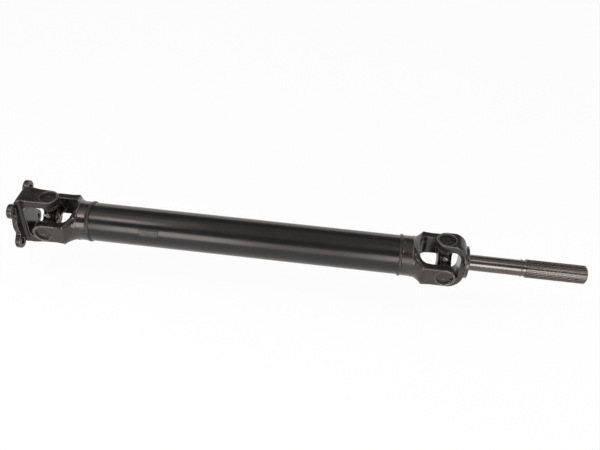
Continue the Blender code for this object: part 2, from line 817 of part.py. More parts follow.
EAR_PIECES = (
    ("bearing_cap", cap_shape, "bearing_steel"),
    ("snap_ring", snap_ring_shape, "bearing_steel"),
    ("thrust_washer", washer_shape, "washer_plastic"),
    ("bearing_seal", seal_shape, "seal_rubber"),
)


def fill_ear(prefix, degrees, yoke_frame, needle_frame, finishes):
    """The cap, snap ring, washer, seal and needles of one ear, turned about the shaft to where the ear points."""
    turn = about_x(degrees)
    for piece, shape, finish in EAR_PIECES:
        place(f"{prefix}_{piece}", shape(), finishes[finish], yoke_frame, turn)
    place(
        f"{prefix}_needle_rollers", needle_ring_shape(), finishes["machined_steel"], needle_frame, turn
    )


# The whole shaft.
def make_joint(end, x, shaft, yoke_frame_name, outer, finishes):
    """One cross joint: its cross, its nipple and what its four ears hold. Returns the outer yoke's frame."""
    cross_frame = frame_at(end + "_cross_frame", x, shaft)
    outer_frame = frame_at(yoke_frame_name, 0, cross_frame)
    side_needles = frame_at(end + "_side_needle_frame", x, shaft)
    outer_needles = frame_at(f"{end}_{outer}_needle_frame", 0, cross_frame)
    weld_frame = frame_at(end + "_weld_yoke_frame", x, shaft)
    make_cross(end + "_cross", cross_frame, finishes["cross_steel"])
    make_nipple(end + "_grease_nipple", cross_frame, finishes["zinc_plate"])
    fill_ear(end + "_near", 90, weld_frame, side_needles, finishes)
    fill_ear(end + "_far", -90, weld_frame, side_needles, finishes)
    fill_ear(end + "_top", 0, outer_frame, outer_needles, finishes)
    fill_ear(end + "_bottom", 180, outer_frame, outer_needles, finishes)
    return weld_frame, outer_frame


def main():
    for old in list(bpy.data.objects):
        bpy.data.objects.remove(old)
    finishes = make_materials()
    paint = finishes["black_paint"]
    shaft = frame_at("shaft_frame", 0)
    make_tube(shaft, paint)
    make_bead("front_weld_bead", FRONT_WELD, shaft, finishes["weld_metal"])
    make_bead("rear_weld_bead", REAR_WELD, shaft, finishes["weld_metal"])
    make_balance_weight(shaft, paint)
    front_weld, front_outer = make_joint(
        "front", FRONT_JOINT, shaft, "flange_yoke_frame", "flange", finishes
    )
    rear_weld, rear_outer = make_joint("rear", REAR_JOINT, shaft, "stub_yoke_frame", "stub", finishes)
    make_weld_yoke("front_weld_yoke", front_weld, paint, 1)
    make_weld_yoke("rear_weld_yoke", rear_weld, paint, -1)
    make_flange_yoke(front_outer, paint)
    make_stub_yoke(rear_outer, paint)


main()
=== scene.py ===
"""Looks of a universal joint shaft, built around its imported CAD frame.

The shaft lies along +X from the centre of its flange's mounting face. The two weld yokes hold their
bearings along Y; the flange yoke and the stub yoke hold theirs along Z. Lengths are in metres.
"""

from __future__ import annotations

import logging
import math
from dataclasses import dataclass
from enum import Enum
from functools import cache

import bmesh
import bpy
import numpy as np
from mathutils import Matrix, Vector

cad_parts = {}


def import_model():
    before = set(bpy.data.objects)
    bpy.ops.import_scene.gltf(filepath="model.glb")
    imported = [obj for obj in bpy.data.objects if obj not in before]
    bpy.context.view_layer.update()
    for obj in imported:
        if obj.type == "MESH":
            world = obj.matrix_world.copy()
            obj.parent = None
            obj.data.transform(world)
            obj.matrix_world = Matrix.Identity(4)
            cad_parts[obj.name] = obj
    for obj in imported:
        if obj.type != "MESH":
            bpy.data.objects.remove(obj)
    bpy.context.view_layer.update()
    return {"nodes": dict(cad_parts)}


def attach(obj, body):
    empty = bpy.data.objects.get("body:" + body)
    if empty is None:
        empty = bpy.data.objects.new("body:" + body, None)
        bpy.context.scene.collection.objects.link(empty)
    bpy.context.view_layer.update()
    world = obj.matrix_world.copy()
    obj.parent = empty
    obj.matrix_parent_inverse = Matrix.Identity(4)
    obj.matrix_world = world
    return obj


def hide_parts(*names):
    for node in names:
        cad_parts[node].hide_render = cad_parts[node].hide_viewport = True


LOG = logging.getLogger("shaft")

# Colours are linear, in three parts.
Colour = tuple[float, float, float]

# Places along the shaft.
FRONT_JOINT = 0.0553
REAR_JOINT = FRONT_JOINT + 0.6627
JOINT_TO_WELD = 0.0716
FRONT_WELD = FRONT_JOINT + JOINT_TO_WELD
REAR_WELD = REAR_JOINT - JOINT_TO_WELD

# Outer radius of the tube, which the weld yokes' necks share.
TUBE_RADIUS = 0.0325
TUBE_BODY = "tube_body"

# Voxel and smoothing of a forged piece.
FORGED_VOXEL = 0.0007
FORGED_SMOOTHING = 2

# Points of a mesh that lie closer than this are one, and edges of turned and drawn pieces stay sharp past
# this many degrees.
SAME_POINT = 1e-7
CRISP = 50.0

# What wear and the painted edge highlights do to a finish: how much a rubbed patch counts beside an
# edge, how much smoother it gets, and how metallic it ends. Then how deep the grain's bump is, and how
# strong.
SCUFF_SHARE = 0.35
WORN_AND_GLINT_POLISH = 0.08
WORN_AND_GLINT_METALLIC = 0.9
BUMP_DISTANCE = 0.0002
BUMP_STRENGTH = 0.6


class Slot(Enum):
    """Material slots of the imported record."""

    TUBE = "tube_paint"
    YOKE = "yoke_paint"
    FLANGE = "flange_yoke_finish"
    WELD = "weld_paint"
    CROSS = "cross_steel"
    BEARING = "bearing_steel"
    RING = "spring_steel"
    SEAL = "seal_rubber"
    NIPPLE = "zinc_plate"
    STUB = "stub_steel"


class Ear(Enum):
    """The four ears that a joint's bearings sit in, with the turn about the shaft that points there."""

    NEAR = 90
    FAR = -90
    TOP = 0
    BOTTOM = 180

    @property
    def label(self) -> str:
        """The ear's name in the CAD nodes."""
        return self.name.lower()


# ---- Surfaces ----


@dataclass
class Surface:
    """A surface on a grid of two parameters, as an array of rows x columns x 3.

    Attributes:
        points: The grid of points.
        closed_rows: The last row runs on into the first.
        closed_columns: The last column runs on into the first.
    """

    points: np.ndarray
    closed_rows: bool = False
    closed_columns: bool = True

    def faces(self, offset: int) -> list[list[int]]:
        """Numbers the corners of every cell of the grid, and of the two end faces where rows are open.

        Args:
            offset: How many points come before this surface's in the mesh.

        Returns:
            Lists of corner numbers.
        """
        rows, columns = self.points.shape[:2]
        index = np.arange(rows * columns).reshape(rows, columns) + offset
        if self.closed_rows:
            index = np.vstack((index, index[:1]))
        if self.closed_columns:
            index = np.hstack((index, index[:, :1]))
        cells = np.stack((index[:-1, :-1], index[1:, :-1], index[1:, 1:], index[:-1, 1:]), axis=-1)
        found = cells.reshape(-1, 4).tolist()
        if not self.closed_rows and self.closed_columns:
            found.append(index[0, :-1].tolist())
            found.append(index[-1, :-1].tolist())
        return found


def rounded(
    corners: list[tuple[float, float]], radius: float, steps: int = 4, closed: bool = True
) -> np.ndarray:
    """Rounds a polygon: each corner becomes a quadratic curve (1-t)^2 A + 2t(1-t) P + t^2 C between points
    A and C that lie one radius from the corner P, or 0.45 of the side where that is shorter.

    Args:
        corners: The polygon's corners.
        radius: How far from a corner its curve starts.
        steps: Pieces of each curve.
        closed: Whether the last corner joins the first. An open line keeps its two end points.

    Returns:
        The rounded line, points x 2.
    """
    p = np.array(corners)
    back = np.roll(p, 1, axis=0) - p
    on = np.roll(p, -1, axis=0) - p
    reach_back = np.linalg.norm(back, axis=1, keepdims=True)
    reach_on = np.linalg.norm(on, axis=1, keepdims=True)
    if not closed:
        back[0] = on[-1] = 0
    start = p + back / reach_back * np.minimum(radius, 0.45 * reach_back)
    end = p + on / reach_on * np.minimum(radius, 0.45 * reach_on)
    if not closed:
        start[0] = end[0] = p[0]
        start[-1] = end[-1] = p[-1]
    t = np.linspace(0, 1, steps + 1)[None, :, None]
    curve = (1 - t) ** 2 * start[:, None] + 2 * t * (1 - t) * p[:, None] + t**2 * end[:, None]
    return curve.reshape(-1, 2)


def mirrored(half: list[tuple[float, float]]) -> np.ndarray:
    """Completes a profile of (along, radius) that is the same at both ends.

    Args:
        half: Its second half.

    Returns:
        The whole profile, points x 2.
    """
    return np.array([(-along, radius) for along, radius in reversed(half)] + half)


def smooth_step(share: np.ndarray) -> np.ndarray:
    """Goes from 0 to 1 as t^2 (3 - 2t), and stays there on both sides.

    Args:
        share: The values of t.

    Returns:
        The step.
    """
    t = np.clip(share, 0, 1)
    return t**2 * (3 - 2 * t)


def polar(along: np.ndarray | float, radius: np.ndarray | float, angle: np.ndarray) -> np.ndarray:
    """Points round the shaft, (along, r cos a, r sin a). The three values are spread to one grid.

    Args:
        along: Place along X.
        radius: Distance from the axis.
        angle: Turn from +Y towards +Z.

    Returns:
        The points, with x, y and z as the last axis.
    """
    along, radius, angle = np.broadcast_arrays(along, radius, angle)
    return np.stack((along, radius * np.cos(angle), radius * np.sin(angle)), axis=-1)


def upright(points: np.ndarray) -> np.ndarray:
    """Points of polar(), but round Z: (r cos a, r sin a, along).

    Args:
        points: The points.

    Returns:
        The points about Z.
    """
    return np.roll(points, -1, axis=-1)


def lathed(profile: np.ndarray, segments: int) -> Surface:
    """Carries a closed profile of (along, radius) round the Z axis.

    Args:
        profile: The profile, points x 2.
        segments: Steps round the axis.

    Returns:
        The surface, with its rows closed.
    """
    angle = np.linspace(0, math.tau, segments, endpoint=False)
    return Surface(upright(polar(profile[:, :1], profile[:, 1:], angle)), closed_rows=True)


def rounded_rectangles(rows: np.ndarray) -> Surface:
    """Sections across the shaft: each is a rectangle with round corners, walked a quarter circle at a time.

    Args:
        rows: Place, half width along Y, half height along Z and corner radius of each section.

    Returns:
        The lofted surface, with end faces.
    """
    steps = 16
    x, width, height, corner = rows.T[..., None]
    quarter = np.repeat(np.arange(4), steps + 1)
    angle = (quarter + np.tile(np.linspace(0, 1, steps + 1), 4)) * math.pi / 2
    side_y = np.where((quarter == 0) | (quarter == 3), 1.0, -1.0)
    side_z = np.where(quarter < 2, 1.0, -1.0)
    corner = np.minimum(np.minimum(corner, width), height)
    y = side_y * (width - corner) + corner * np.cos(angle)
    z = side_z * (height - corner) + corner * np.sin(angle)
    return Surface(np.stack((np.broadcast_to(x, y.shape), y, z), axis=-1))


# ---- Objects ----


def about_x(degrees: float) -> Matrix:
    """A turn about the shaft."""
    return Matrix.Rotation(math.radians(degrees), 4, "X")


def upright_to_x() -> Matrix:
    """A turn that carries +Z to +X."""
    return Matrix.Rotation(math.pi / 2, 4, "Y")


def mesh_object(name: str, surfaces: list[Surface], place: Matrix, sharp: float = 35.0) -> bpy.types.Object:
    """Makes one object of one or more surfaces, with its place in its mesh.

    Args:
        name: The object's name.
        surfaces: The surfaces.
        place: Where they go.
        sharp: Edges steeper than this many degrees stay sharp.

    Returns:
        The object, at the origin.
    """
    points = np.concatenate([surface.points.reshape(-1, 3) for surface in surfaces])
    faces: list[list[int]] = []
    offset = 0
    for surface in surfaces:
        faces += surface.faces(offset)
        offset += surface.points[..., 0].size
    mesh = bpy.data.meshes.new(name)
    mesh.from_pydata(points.tolist(), [], faces)
    mesh.transform(place)
    shape = bmesh.new()
    shape.from_mesh(mesh)
    bmesh.ops.remove_doubles(shape, verts=shape.verts, dist=SAME_POINT)
    bmesh.ops.dissolve_degenerate(shape, dist=SAME_POINT, edges=shape.edges)
    bmesh.ops.recalc_face_normals(shape, faces=shape.faces)
    shape.to_mesh(mesh)
    shape.free()
    mesh.shade_smooth()
    mesh.set_sharp_from_angle(angle=math.radians(sharp))
    made = bpy.data.objects.new(name, mesh)
    bpy.context.scene.collection.objects.link(made)
    return made


def forge(
    target: bpy.types.Object,
    cut: list[bpy.types.Object],
    added: tuple[bpy.types.Object, ...] = (),
    voxel: float = FORGED_VOXEL,
) -> None:
    """Joins shapes to a piece and cuts others out, then rounds all its edges as a forging's are: it is made
    again as a fine grid of voxels, which is smoothed.

    Args:
        target: The piece. Its mesh is replaced by the result.
        cut: What is cut out. They are deleted.
        added: What is joined to it first. They are deleted.
        voxel: The side of a voxel.
    """
    tools = [(tool, "UNION") for tool in added] + [(tool, "DIFFERENCE") for tool in cut]
    for tool, operation in tools:
        step = target.modifiers.new(tool.name, "BOOLEAN")
        step.operation = operation
        step.solver = "EXACT"
        step.object = tool
    grid = target.modifiers.new("grid", "REMESH")
    grid.mode = "VOXEL"
    grid.voxel_size = voxel
    grid.use_smooth_shade = True
    smooth = target.modifiers.new("smooth", "SMOOTH")
    smooth.factor = 0.5
    smooth.iterations = FORGED_SMOOTHING
    graph = bpy.context.evaluated_depsgraph_get()
    result = bpy.data.meshes.new_from_object(target.evaluated_get(graph))
    target.modifiers.clear()
    spent = [target.data] + [tool.data for tool, _ in tools]
    target.data = result
    result.name = target.name
    for tool, _ in tools:
        bpy.data.objects.remove(tool)
    for mesh in spent:
        bpy.data.meshes.remove(mesh)


def dress(piece: bpy.types.Object, finish: "Finish", body: str, slot: Slot, *replaced: str) -> None:
    """Gives a piece its finish and its body, and hides the CAD nodes that it stands for.

    Args:
        piece: The piece.
        finish: Its finish.
        body: The CAD body that it rides on.
        slot: The record's material slot. Not used.
        replaced: CAD nodes that it stands for.
    """
    piece.data.materials.clear()
    piece.data.materials.append(finish.material())
    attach(piece, body)
    if replaced:
        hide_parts(*replaced)
    LOG.info("%s: %d faces on %s", piece.name, len(piece.data.polygons), body)


# ---- Shader tools ----


class Nodes:
    """Short calls that add and join the nodes of one node tree."""

    def __init__(self, tree: bpy.types.NodeTree) -> None:
        """Keeps the tree."""
        self.tree = tree

    def add(self, kind: str, inputs: dict | None = None, **values: object) -> bpy.types.Node:
        """Adds a node.

        Args:
            kind: The node's type, without its ShaderNode prefix.
            inputs: Values or sockets by input name or number.
            values: Properties of the node.

        Returns:
            The node.
        """
        node = self.tree.nodes.new("ShaderNode" + kind)
        for key, value in values.items():
            setattr(node, key, value)
        for key, value in (inputs or {}).items():
            self.feed(node.inputs[key], value)
        return node

    def feed(self, socket: bpy.types.NodeSocket, value: object) -> None:
        """Sets a socket to a value, or joins another socket to it.

        Args:
            socket: The input.
            value: A number, colour or output socket.
        """
        if isinstance(value, bpy.types.NodeSocket):
            self.tree.links.new(value, socket)
        elif isinstance(value, tuple) and len(value) == 3 and socket.type == "RGBA":
            socket.default_value = (*value, 1.0)
        else:
            socket.default_value = value

    def math(self, operation: str, first: object, second: object = 0.0) -> bpy.types.NodeSocket:
        """The result of one sum.

        Args:
            operation: The Math node's operation.
            first: Its first number or socket.
            second: Its second number or socket.

        Returns:
            The output.
        """
        return self.add("Math", {0: first, 1: second}, operation=operation).outputs[0]

    def noise(self, vector: object, scale: object, detail: float, roughness: float) -> bpy.types.NodeSocket:
        """Fractal noise.

        Args:
            vector: The place it is read at.
            scale: Its scale.
            detail: How many finer layers it has.
            roughness: How strong they are.

        Returns:
            The output.
        """
        values = {"Vector": vector, "Scale": scale, "Detail": detail, "Roughness": roughness}
        return self.add("TexNoise", values).outputs[0]

    def remap(
        self, value: object, low: float, high: float, to_low: float = 0.0, to_high: float = 1.0
    ) -> bpy.types.NodeSocket:
        """Carries one range of numbers to another, and clamps it.

        Args:
            value: The input.
            low: Lowest input.
            high: Highest input.
            to_low: What the lowest becomes.
            to_high: What the highest becomes.

        Returns:
            The output.
        """
        return self.add("MapRange", {0: value, 1: low, 2: high, 3: to_low, 4: to_high}).outputs[0]

    def mix(self, share: object, first: object, second: object) -> bpy.types.NodeSocket:
        """Mixes two colours.

        Args:
            share: How much of the second.
            first: A colour or socket.
            second: A colour or socket.

        Returns:
            The mixed colour.
        """
        node = self.add("Mix", data_type="RGBA")
        self.feed(node.inputs[0], share)
        self.feed(node.inputs[6], first)
        self.feed(node.inputs[7], second)
        return node.outputs[2]


def shader_group(
    name: str, inputs: dict[str, float | None], outputs: tuple[str, ...]
) -> tuple[bpy.types.NodeTree, dict[str, bpy.types.NodeSocket], Nodes, bpy.types.Node]:
    """Starts a node group with named sockets.

    Args:
        name: The group's name.
        inputs: Default values by name. None stands for a vector.
        outputs: Names of the outputs, which are all numbers.

    Returns:
        The group, its input sockets by name, its node calls, and its output node.
    """
    tree = bpy.data.node_groups.new(name, "ShaderNodeTree")
    for label, value in inputs.items():
        kind = "NodeSocketVector" if value is None else "NodeSocketFloat"
        socket = tree.interface.new_socket(name=label, in_out="INPUT", socket_type=kind)
        if value is not None:
            socket.default_value = value
    for label in outputs:
        tree.interface.new_socket(name=label, in_out="OUTPUT", socket_type="NodeSocketFloat")
    source = tree.nodes.new("NodeGroupInput")
    sink = tree.nodes.new("NodeGroupOutput")
    return tree, {label: source.outputs[label] for label in inputs}, Nodes(tree), sink


@cache
def grain_group() -> bpy.types.NodeTree:
    """Two sizes of noise: a fine one for the skin's height, and a coarse one for its mottling.

    Returns:
        The group, built once.
    """
    tree, inputs, nodes, sink = shader_group(
        "skin_grain", {"Vector": None, "Scale": 900.0, "Mottle Scale": 60.0}, ("Height", "Mottle")
    )
    place, scale = inputs["Vector"], inputs["Scale"]
    fine = nodes.noise(place, scale, 4.0, 0.6)
    coarse = nodes.noise(place, inputs["Mottle Scale"], 5.0, 0.62)
    pits = nodes.add("TexVoronoi", {"Vector": place, "Scale": nodes.math("MULTIPLY", scale, 0.6)})
    dip = nodes.remap(pits.outputs["Distance"], 0.0, 0.45)
    height = nodes.math("ADD", nodes.math("MULTIPLY", fine, 0.7), nodes.math("MULTIPLY", dip, 0.3))
    nodes.feed(sink.inputs["Height"], height)
    nodes.feed(sink.inputs["Mottle"], nodes.remap(coarse, 0.34, 0.66))
    return tree


@cache
def wear_and_glint_group() -> bpy.types.NodeTree:
    """Wear and painted highlight: a mask of convex edges, broken up by noise, and a few rubbed patches.

    Returns:
        The group, built once.
    """
    tree, inputs, nodes, sink = shader_group(
        "edge_wear_and_glint", {"Vector": None, "Amount": 0.5, "Scale": 220.0}, ("Edge", "Scuff")
    )
    place, scale, amount = inputs["Vector"], inputs["Scale"], inputs["Amount"]
    edge = nodes.remap(nodes.add("NewGeometry").outputs["Pointiness"], 0.515, 0.57)
    broken = nodes.remap(nodes.noise(place, scale, 5.0, 0.65), 0.30, 0.58, 0.35, 1.0)
    scuff = nodes.remap(nodes.noise(place, nodes.math("MULTIPLY", scale, 0.35), 8.0, 0.75), 0.60, 0.72)
    nodes.feed(sink.inputs["Edge"], nodes.math("MULTIPLY", nodes.math("MULTIPLY", edge, broken), amount))
    nodes.feed(sink.inputs["Scuff"], nodes.math("MULTIPLY", scuff, amount))
    return tree


@cache
def turning_group() -> bpy.types.NodeTree:
    """Marks that a lathe or a drawing die leaves: noise that changes fast along the shaft and slowly
    across it, for rings, or slowly along it, for lines.

    Returns:
        The group, built once.
    """
    tree, inputs, nodes, sink = shader_group(
        "tool_marks", {"Vector": None, "Along": 3000.0, "Across": 20.0}, ("Height", "Streak")
    )
    scale = nodes.add("CombineXYZ", {0: inputs["Along"], 1: inputs["Across"], 2: inputs["Across"]})
    stretched = nodes.add("VectorMath", {0: inputs["Vector"], 1: scale.outputs[0]}, operation="MULTIPLY")
    noise = nodes.noise(stretched.outputs[0], 1.0, 3.0, 0.55)
    nodes.feed(sink.inputs["Height"], noise)
    nodes.feed(sink.inputs["Streak"], nodes.remap(noise, 0.36, 0.64))
    return tree


@dataclass(frozen=True)
class Finish:
    """One finish of the shaft, with the values that its nodes take.

    Attributes:
        name: The material's name.
        colour: Its main colour.
        mottled: The colour of its mottling.
        bare_and_glint: The colour where wear lays the metal bare, and of painted highlights on edges.
        roughness: Its main roughness.
        spread: How far the roughness varies.
        metallic: Whether it is uncoated metal (1) or a coat over it (0).
        specular: The shader's specular level.
        grain: Scale of the fine grain.
        grain_depth: Strength of the grain's bump.
        mottle: Scale of the mottling.
        wear_and_glint: How much wear and painted highlight its edges show.
        marks_along: Scale of tool marks along the shaft.
        marks_across: Scale of tool marks across the shaft.
        marks_depth: Strength of the tool marks' bump.
        tint: Tint of its reflections.
    """

    name: str
    colour: Colour
    mottled: Colour
    bare_and_glint: Colour
    roughness: float
    spread: float = 0.06
    metallic: float = 0.0
    specular: float = 0.5
    grain: float = 900.0
    grain_depth: float = 0.1
    mottle: float = 60.0
    wear_and_glint: float = 0.4
    marks_along: float = 2500.0
    marks_across: float = 15.0
    marks_depth: float = 0.0
    tint: Colour = (1.0, 0.93, 0.88)

    @cache
    def material(self) -> bpy.types.Material:
        """Builds the finish's nodes, once.

        Returns:
            The material.
        """
        made = bpy.data.materials.new(self.name)
        made.use_nodes = True
        nodes = Nodes(made.node_tree)
        place = nodes.add("TexCoord").outputs["Object"]
        grain = nodes.add("Group", node_tree=grain_group())
        wear_and_glint = nodes.add("Group", node_tree=wear_and_glint_group())
        marks = nodes.add("Group", node_tree=turning_group())
        for node in (grain, wear_and_glint, marks):
            nodes.feed(node.inputs["Vector"], place)
        grain.inputs["Scale"].default_value = self.grain
        grain.inputs["Mottle Scale"].default_value = self.mottle
        wear_and_glint.inputs["Amount"].default_value = self.wear_and_glint
        marks.inputs["Along"].default_value = self.marks_along
        marks.inputs["Across"].default_value = self.marks_across
        skin = nodes.mix(grain.outputs["Mottle"], self.colour, self.mottled)
        streak = nodes.math("MULTIPLY", marks.outputs["Streak"], self.marks_depth)
        scuff = nodes.math("MULTIPLY", wear_and_glint.outputs["Scuff"], SCUFF_SHARE)
        # The worn mask lays pale colour on convex edges: partly real wear, partly painted highlight for
        # glints.
        worn_and_glint = nodes.math("MAXIMUM", wear_and_glint.outputs["Edge"], scuff)
        smoothest, roughest = self.roughness - self.spread, self.roughness + self.spread
        uneven = nodes.remap(grain.outputs["Mottle"], 0.0, 1.0, smoothest, roughest)
        height = nodes.math(
            "ADD",
            nodes.math("MULTIPLY", grain.outputs["Height"], self.grain_depth),
            nodes.math("MULTIPLY", marks.outputs["Height"], self.marks_depth),
        )
        bump = {"Height": height, "Distance": BUMP_DISTANCE, "Strength": BUMP_STRENGTH}
        bare_metal = self.metallic == 1
        sockets = {
            "Base Color": nodes.mix(worn_and_glint, nodes.mix(streak, skin, self.bare_and_glint), self.bare_and_glint),
            "Roughness": nodes.math("SUBTRACT", uneven, nodes.math("MULTIPLY", worn_and_glint, WORN_AND_GLINT_POLISH)),
            "Metallic": 1.0 if bare_metal else nodes.remap(worn_and_glint, 0.0, 1.0, self.metallic, WORN_AND_GLINT_METALLIC),
            "Specular IOR Level": self.specular,
            "Specular Tint": self.tint,
            "Normal": nodes.add("Bump", bump).outputs[0],
        }
        shader = made.node_tree.nodes["Principled BSDF"]
        for label, value in sockets.items():
            nodes.feed(shader.inputs[label], value)
        return made


# Pale bare colours on edges are partly real wear, partly painted highlight, most on the yokes and stub.
# fmt: off
TUBE_PAINT = Finish(
    "satin_black_tube_paint", colour=(0.0048, 0.0045, 0.0042), mottled=(0.0085, 0.008, 0.0075),
    bare_and_glint=(0.06, 0.057, 0.054), roughness=0.23, spread=0.03, grain=1400.0, grain_depth=0.03, mottle=22.0,
    wear_and_glint=0.2, marks_along=40.0, marks_across=700.0, marks_depth=0.03, tint=(1.0, 0.95, 0.91),
)
WEIGHT_PAINT = Finish(
    "flat_black_weight_paint", colour=(0.010, 0.0095, 0.009), mottled=(0.015, 0.0142, 0.0135),
    bare_and_glint=(0.05, 0.047, 0.044), roughness=0.34, grain=1400.0, grain_depth=0.1, mottle=120.0, wear_and_glint=0.1,
)
YOKE_PAINT = Finish(
    "black_paint_on_forging", colour=(0.007, 0.0062, 0.0056), mottled=(0.023, 0.0193, 0.0175),
    bare_and_glint=(0.60, 0.55, 0.52), roughness=0.21, spread=0.06, specular=0.7, grain=1100.0, grain_depth=0.1,
    mottle=70.0, wear_and_glint=0.9,
)
FLANGE_COAT = Finish(
    "worn_and_glinting_dark_coat_on_flange", colour=(0.007, 0.0062, 0.0056), mottled=(0.021, 0.0175, 0.0155),
    bare_and_glint=(0.52, 0.47, 0.44), roughness=0.25, spread=0.08, specular=0.6, grain=1000.0, grain_depth=0.16,
    mottle=60.0, wear_and_glint=0.8,
)
WELD_PAINT = Finish(
    "black_paint_on_weld", colour=(0.007, 0.0066, 0.0062), mottled=(0.013, 0.012, 0.0115),
    bare_and_glint=(0.14, 0.13, 0.12), roughness=0.22, spread=0.06, specular=0.6, grain=1300.0, grain_depth=0.1,
    mottle=160.0, wear_and_glint=0.4,
)
CROSS_STEEL = Finish(
    "oiled_dark_cross_steel", colour=(0.022, 0.020, 0.0185), mottled=(0.07, 0.062, 0.057),
    bare_and_glint=(0.36, 0.32, 0.30), roughness=0.26, spread=0.10, metallic=1.0, grain=1100.0, grain_depth=0.15,
    mottle=120.0, wear_and_glint=0.6,
)
CAP_STEEL = Finish(
    "dark_bearing_cap_steel", colour=(0.012, 0.011, 0.010), mottled=(0.024, 0.0215, 0.020),
    bare_and_glint=(0.30, 0.28, 0.265), roughness=0.28, spread=0.07, metallic=0.2, specular=0.75, grain=1600.0,
    grain_depth=0.08, mottle=180.0, wear_and_glint=0.35,
)
RING_STEEL = Finish(
    "blackened_spring_steel", colour=(0.014, 0.013, 0.012), mottled=(0.03, 0.0275, 0.026),
    bare_and_glint=(0.30, 0.28, 0.265), roughness=0.30, spread=0.07, metallic=0.3, grain=1800.0, grain_depth=0.1,
    mottle=250.0, wear_and_glint=0.7, specular=0.75,
)
SEAL_RUBBER = Finish(
    "soft_black_rubber", colour=(0.016, 0.016, 0.016), mottled=(0.026, 0.025, 0.024),
    bare_and_glint=(0.05, 0.05, 0.048), roughness=0.62, spread=0.08, grain=1500.0, grain_depth=0.2, mottle=200.0,
    wear_and_glint=0.1,
)
NIPPLE_PLATE = Finish(
    "dull_zinc_plate", colour=(0.34, 0.30, 0.28), mottled=(0.48, 0.44, 0.42), bare_and_glint=(0.70, 0.66, 0.63),
    roughness=0.30, spread=0.1, metallic=1.0, grain=1500.0, grain_depth=0.15, mottle=260.0, wear_and_glint=0.5,
)
STUB_FORGED = Finish(
    "oiled_forged_stub_steel", colour=(0.0075, 0.0068, 0.0063), mottled=(0.020, 0.0176, 0.0162),
    bare_and_glint=(0.60, 0.55, 0.52), roughness=0.22, spread=0.06, specular=0.7, grain=1100.0, grain_depth=0.12,
    mottle=90.0, wear_and_glint=1.0,
)
STUB_TURNED = Finish(
    "turned_stub_steel", colour=(0.112, 0.103, 0.099), mottled=(0.14, 0.129, 0.124),
    bare_and_glint=(0.20, 0.188, 0.18), roughness=0.22, spread=0.03, metallic=1.0, grain=1600.0, grain_depth=0.03,
    mottle=45.0, wear_and_glint=0.25, marks_along=2600.0, marks_across=12.0, marks_depth=0.015,
)
SPLINE_STEEL = Finish(
    "phosphated_spline_steel", colour=(0.135, 0.123, 0.118), mottled=(0.155, 0.141, 0.135),
    bare_and_glint=(0.26, 0.24, 0.23), roughness=0.24, spread=0.03, metallic=0.9, grain=1200.0, grain_depth=0.02,
    mottle=120.0, wear_and_glint=0.3,
)
NEEDLE_STEEL = Finish(
    "polished_roller_steel", colour=(0.42, 0.41, 0.40), mottled=(0.50, 0.49, 0.48),
    bare_and_glint=(0.62, 0.61, 0.60), roughness=0.20, metallic=1.0, wear_and_glint=0.2,
)
WASHER_NYLON = Finish(
    "pale_nylon", colour=(0.62, 0.60, 0.52), mottled=(0.68, 0.66, 0.58), bare_and_glint=(0.74, 0.72, 0.66),
    roughness=0.48, wear_and_glint=0.1,
)
# fmt: on


# ---- The tube and its welds ----


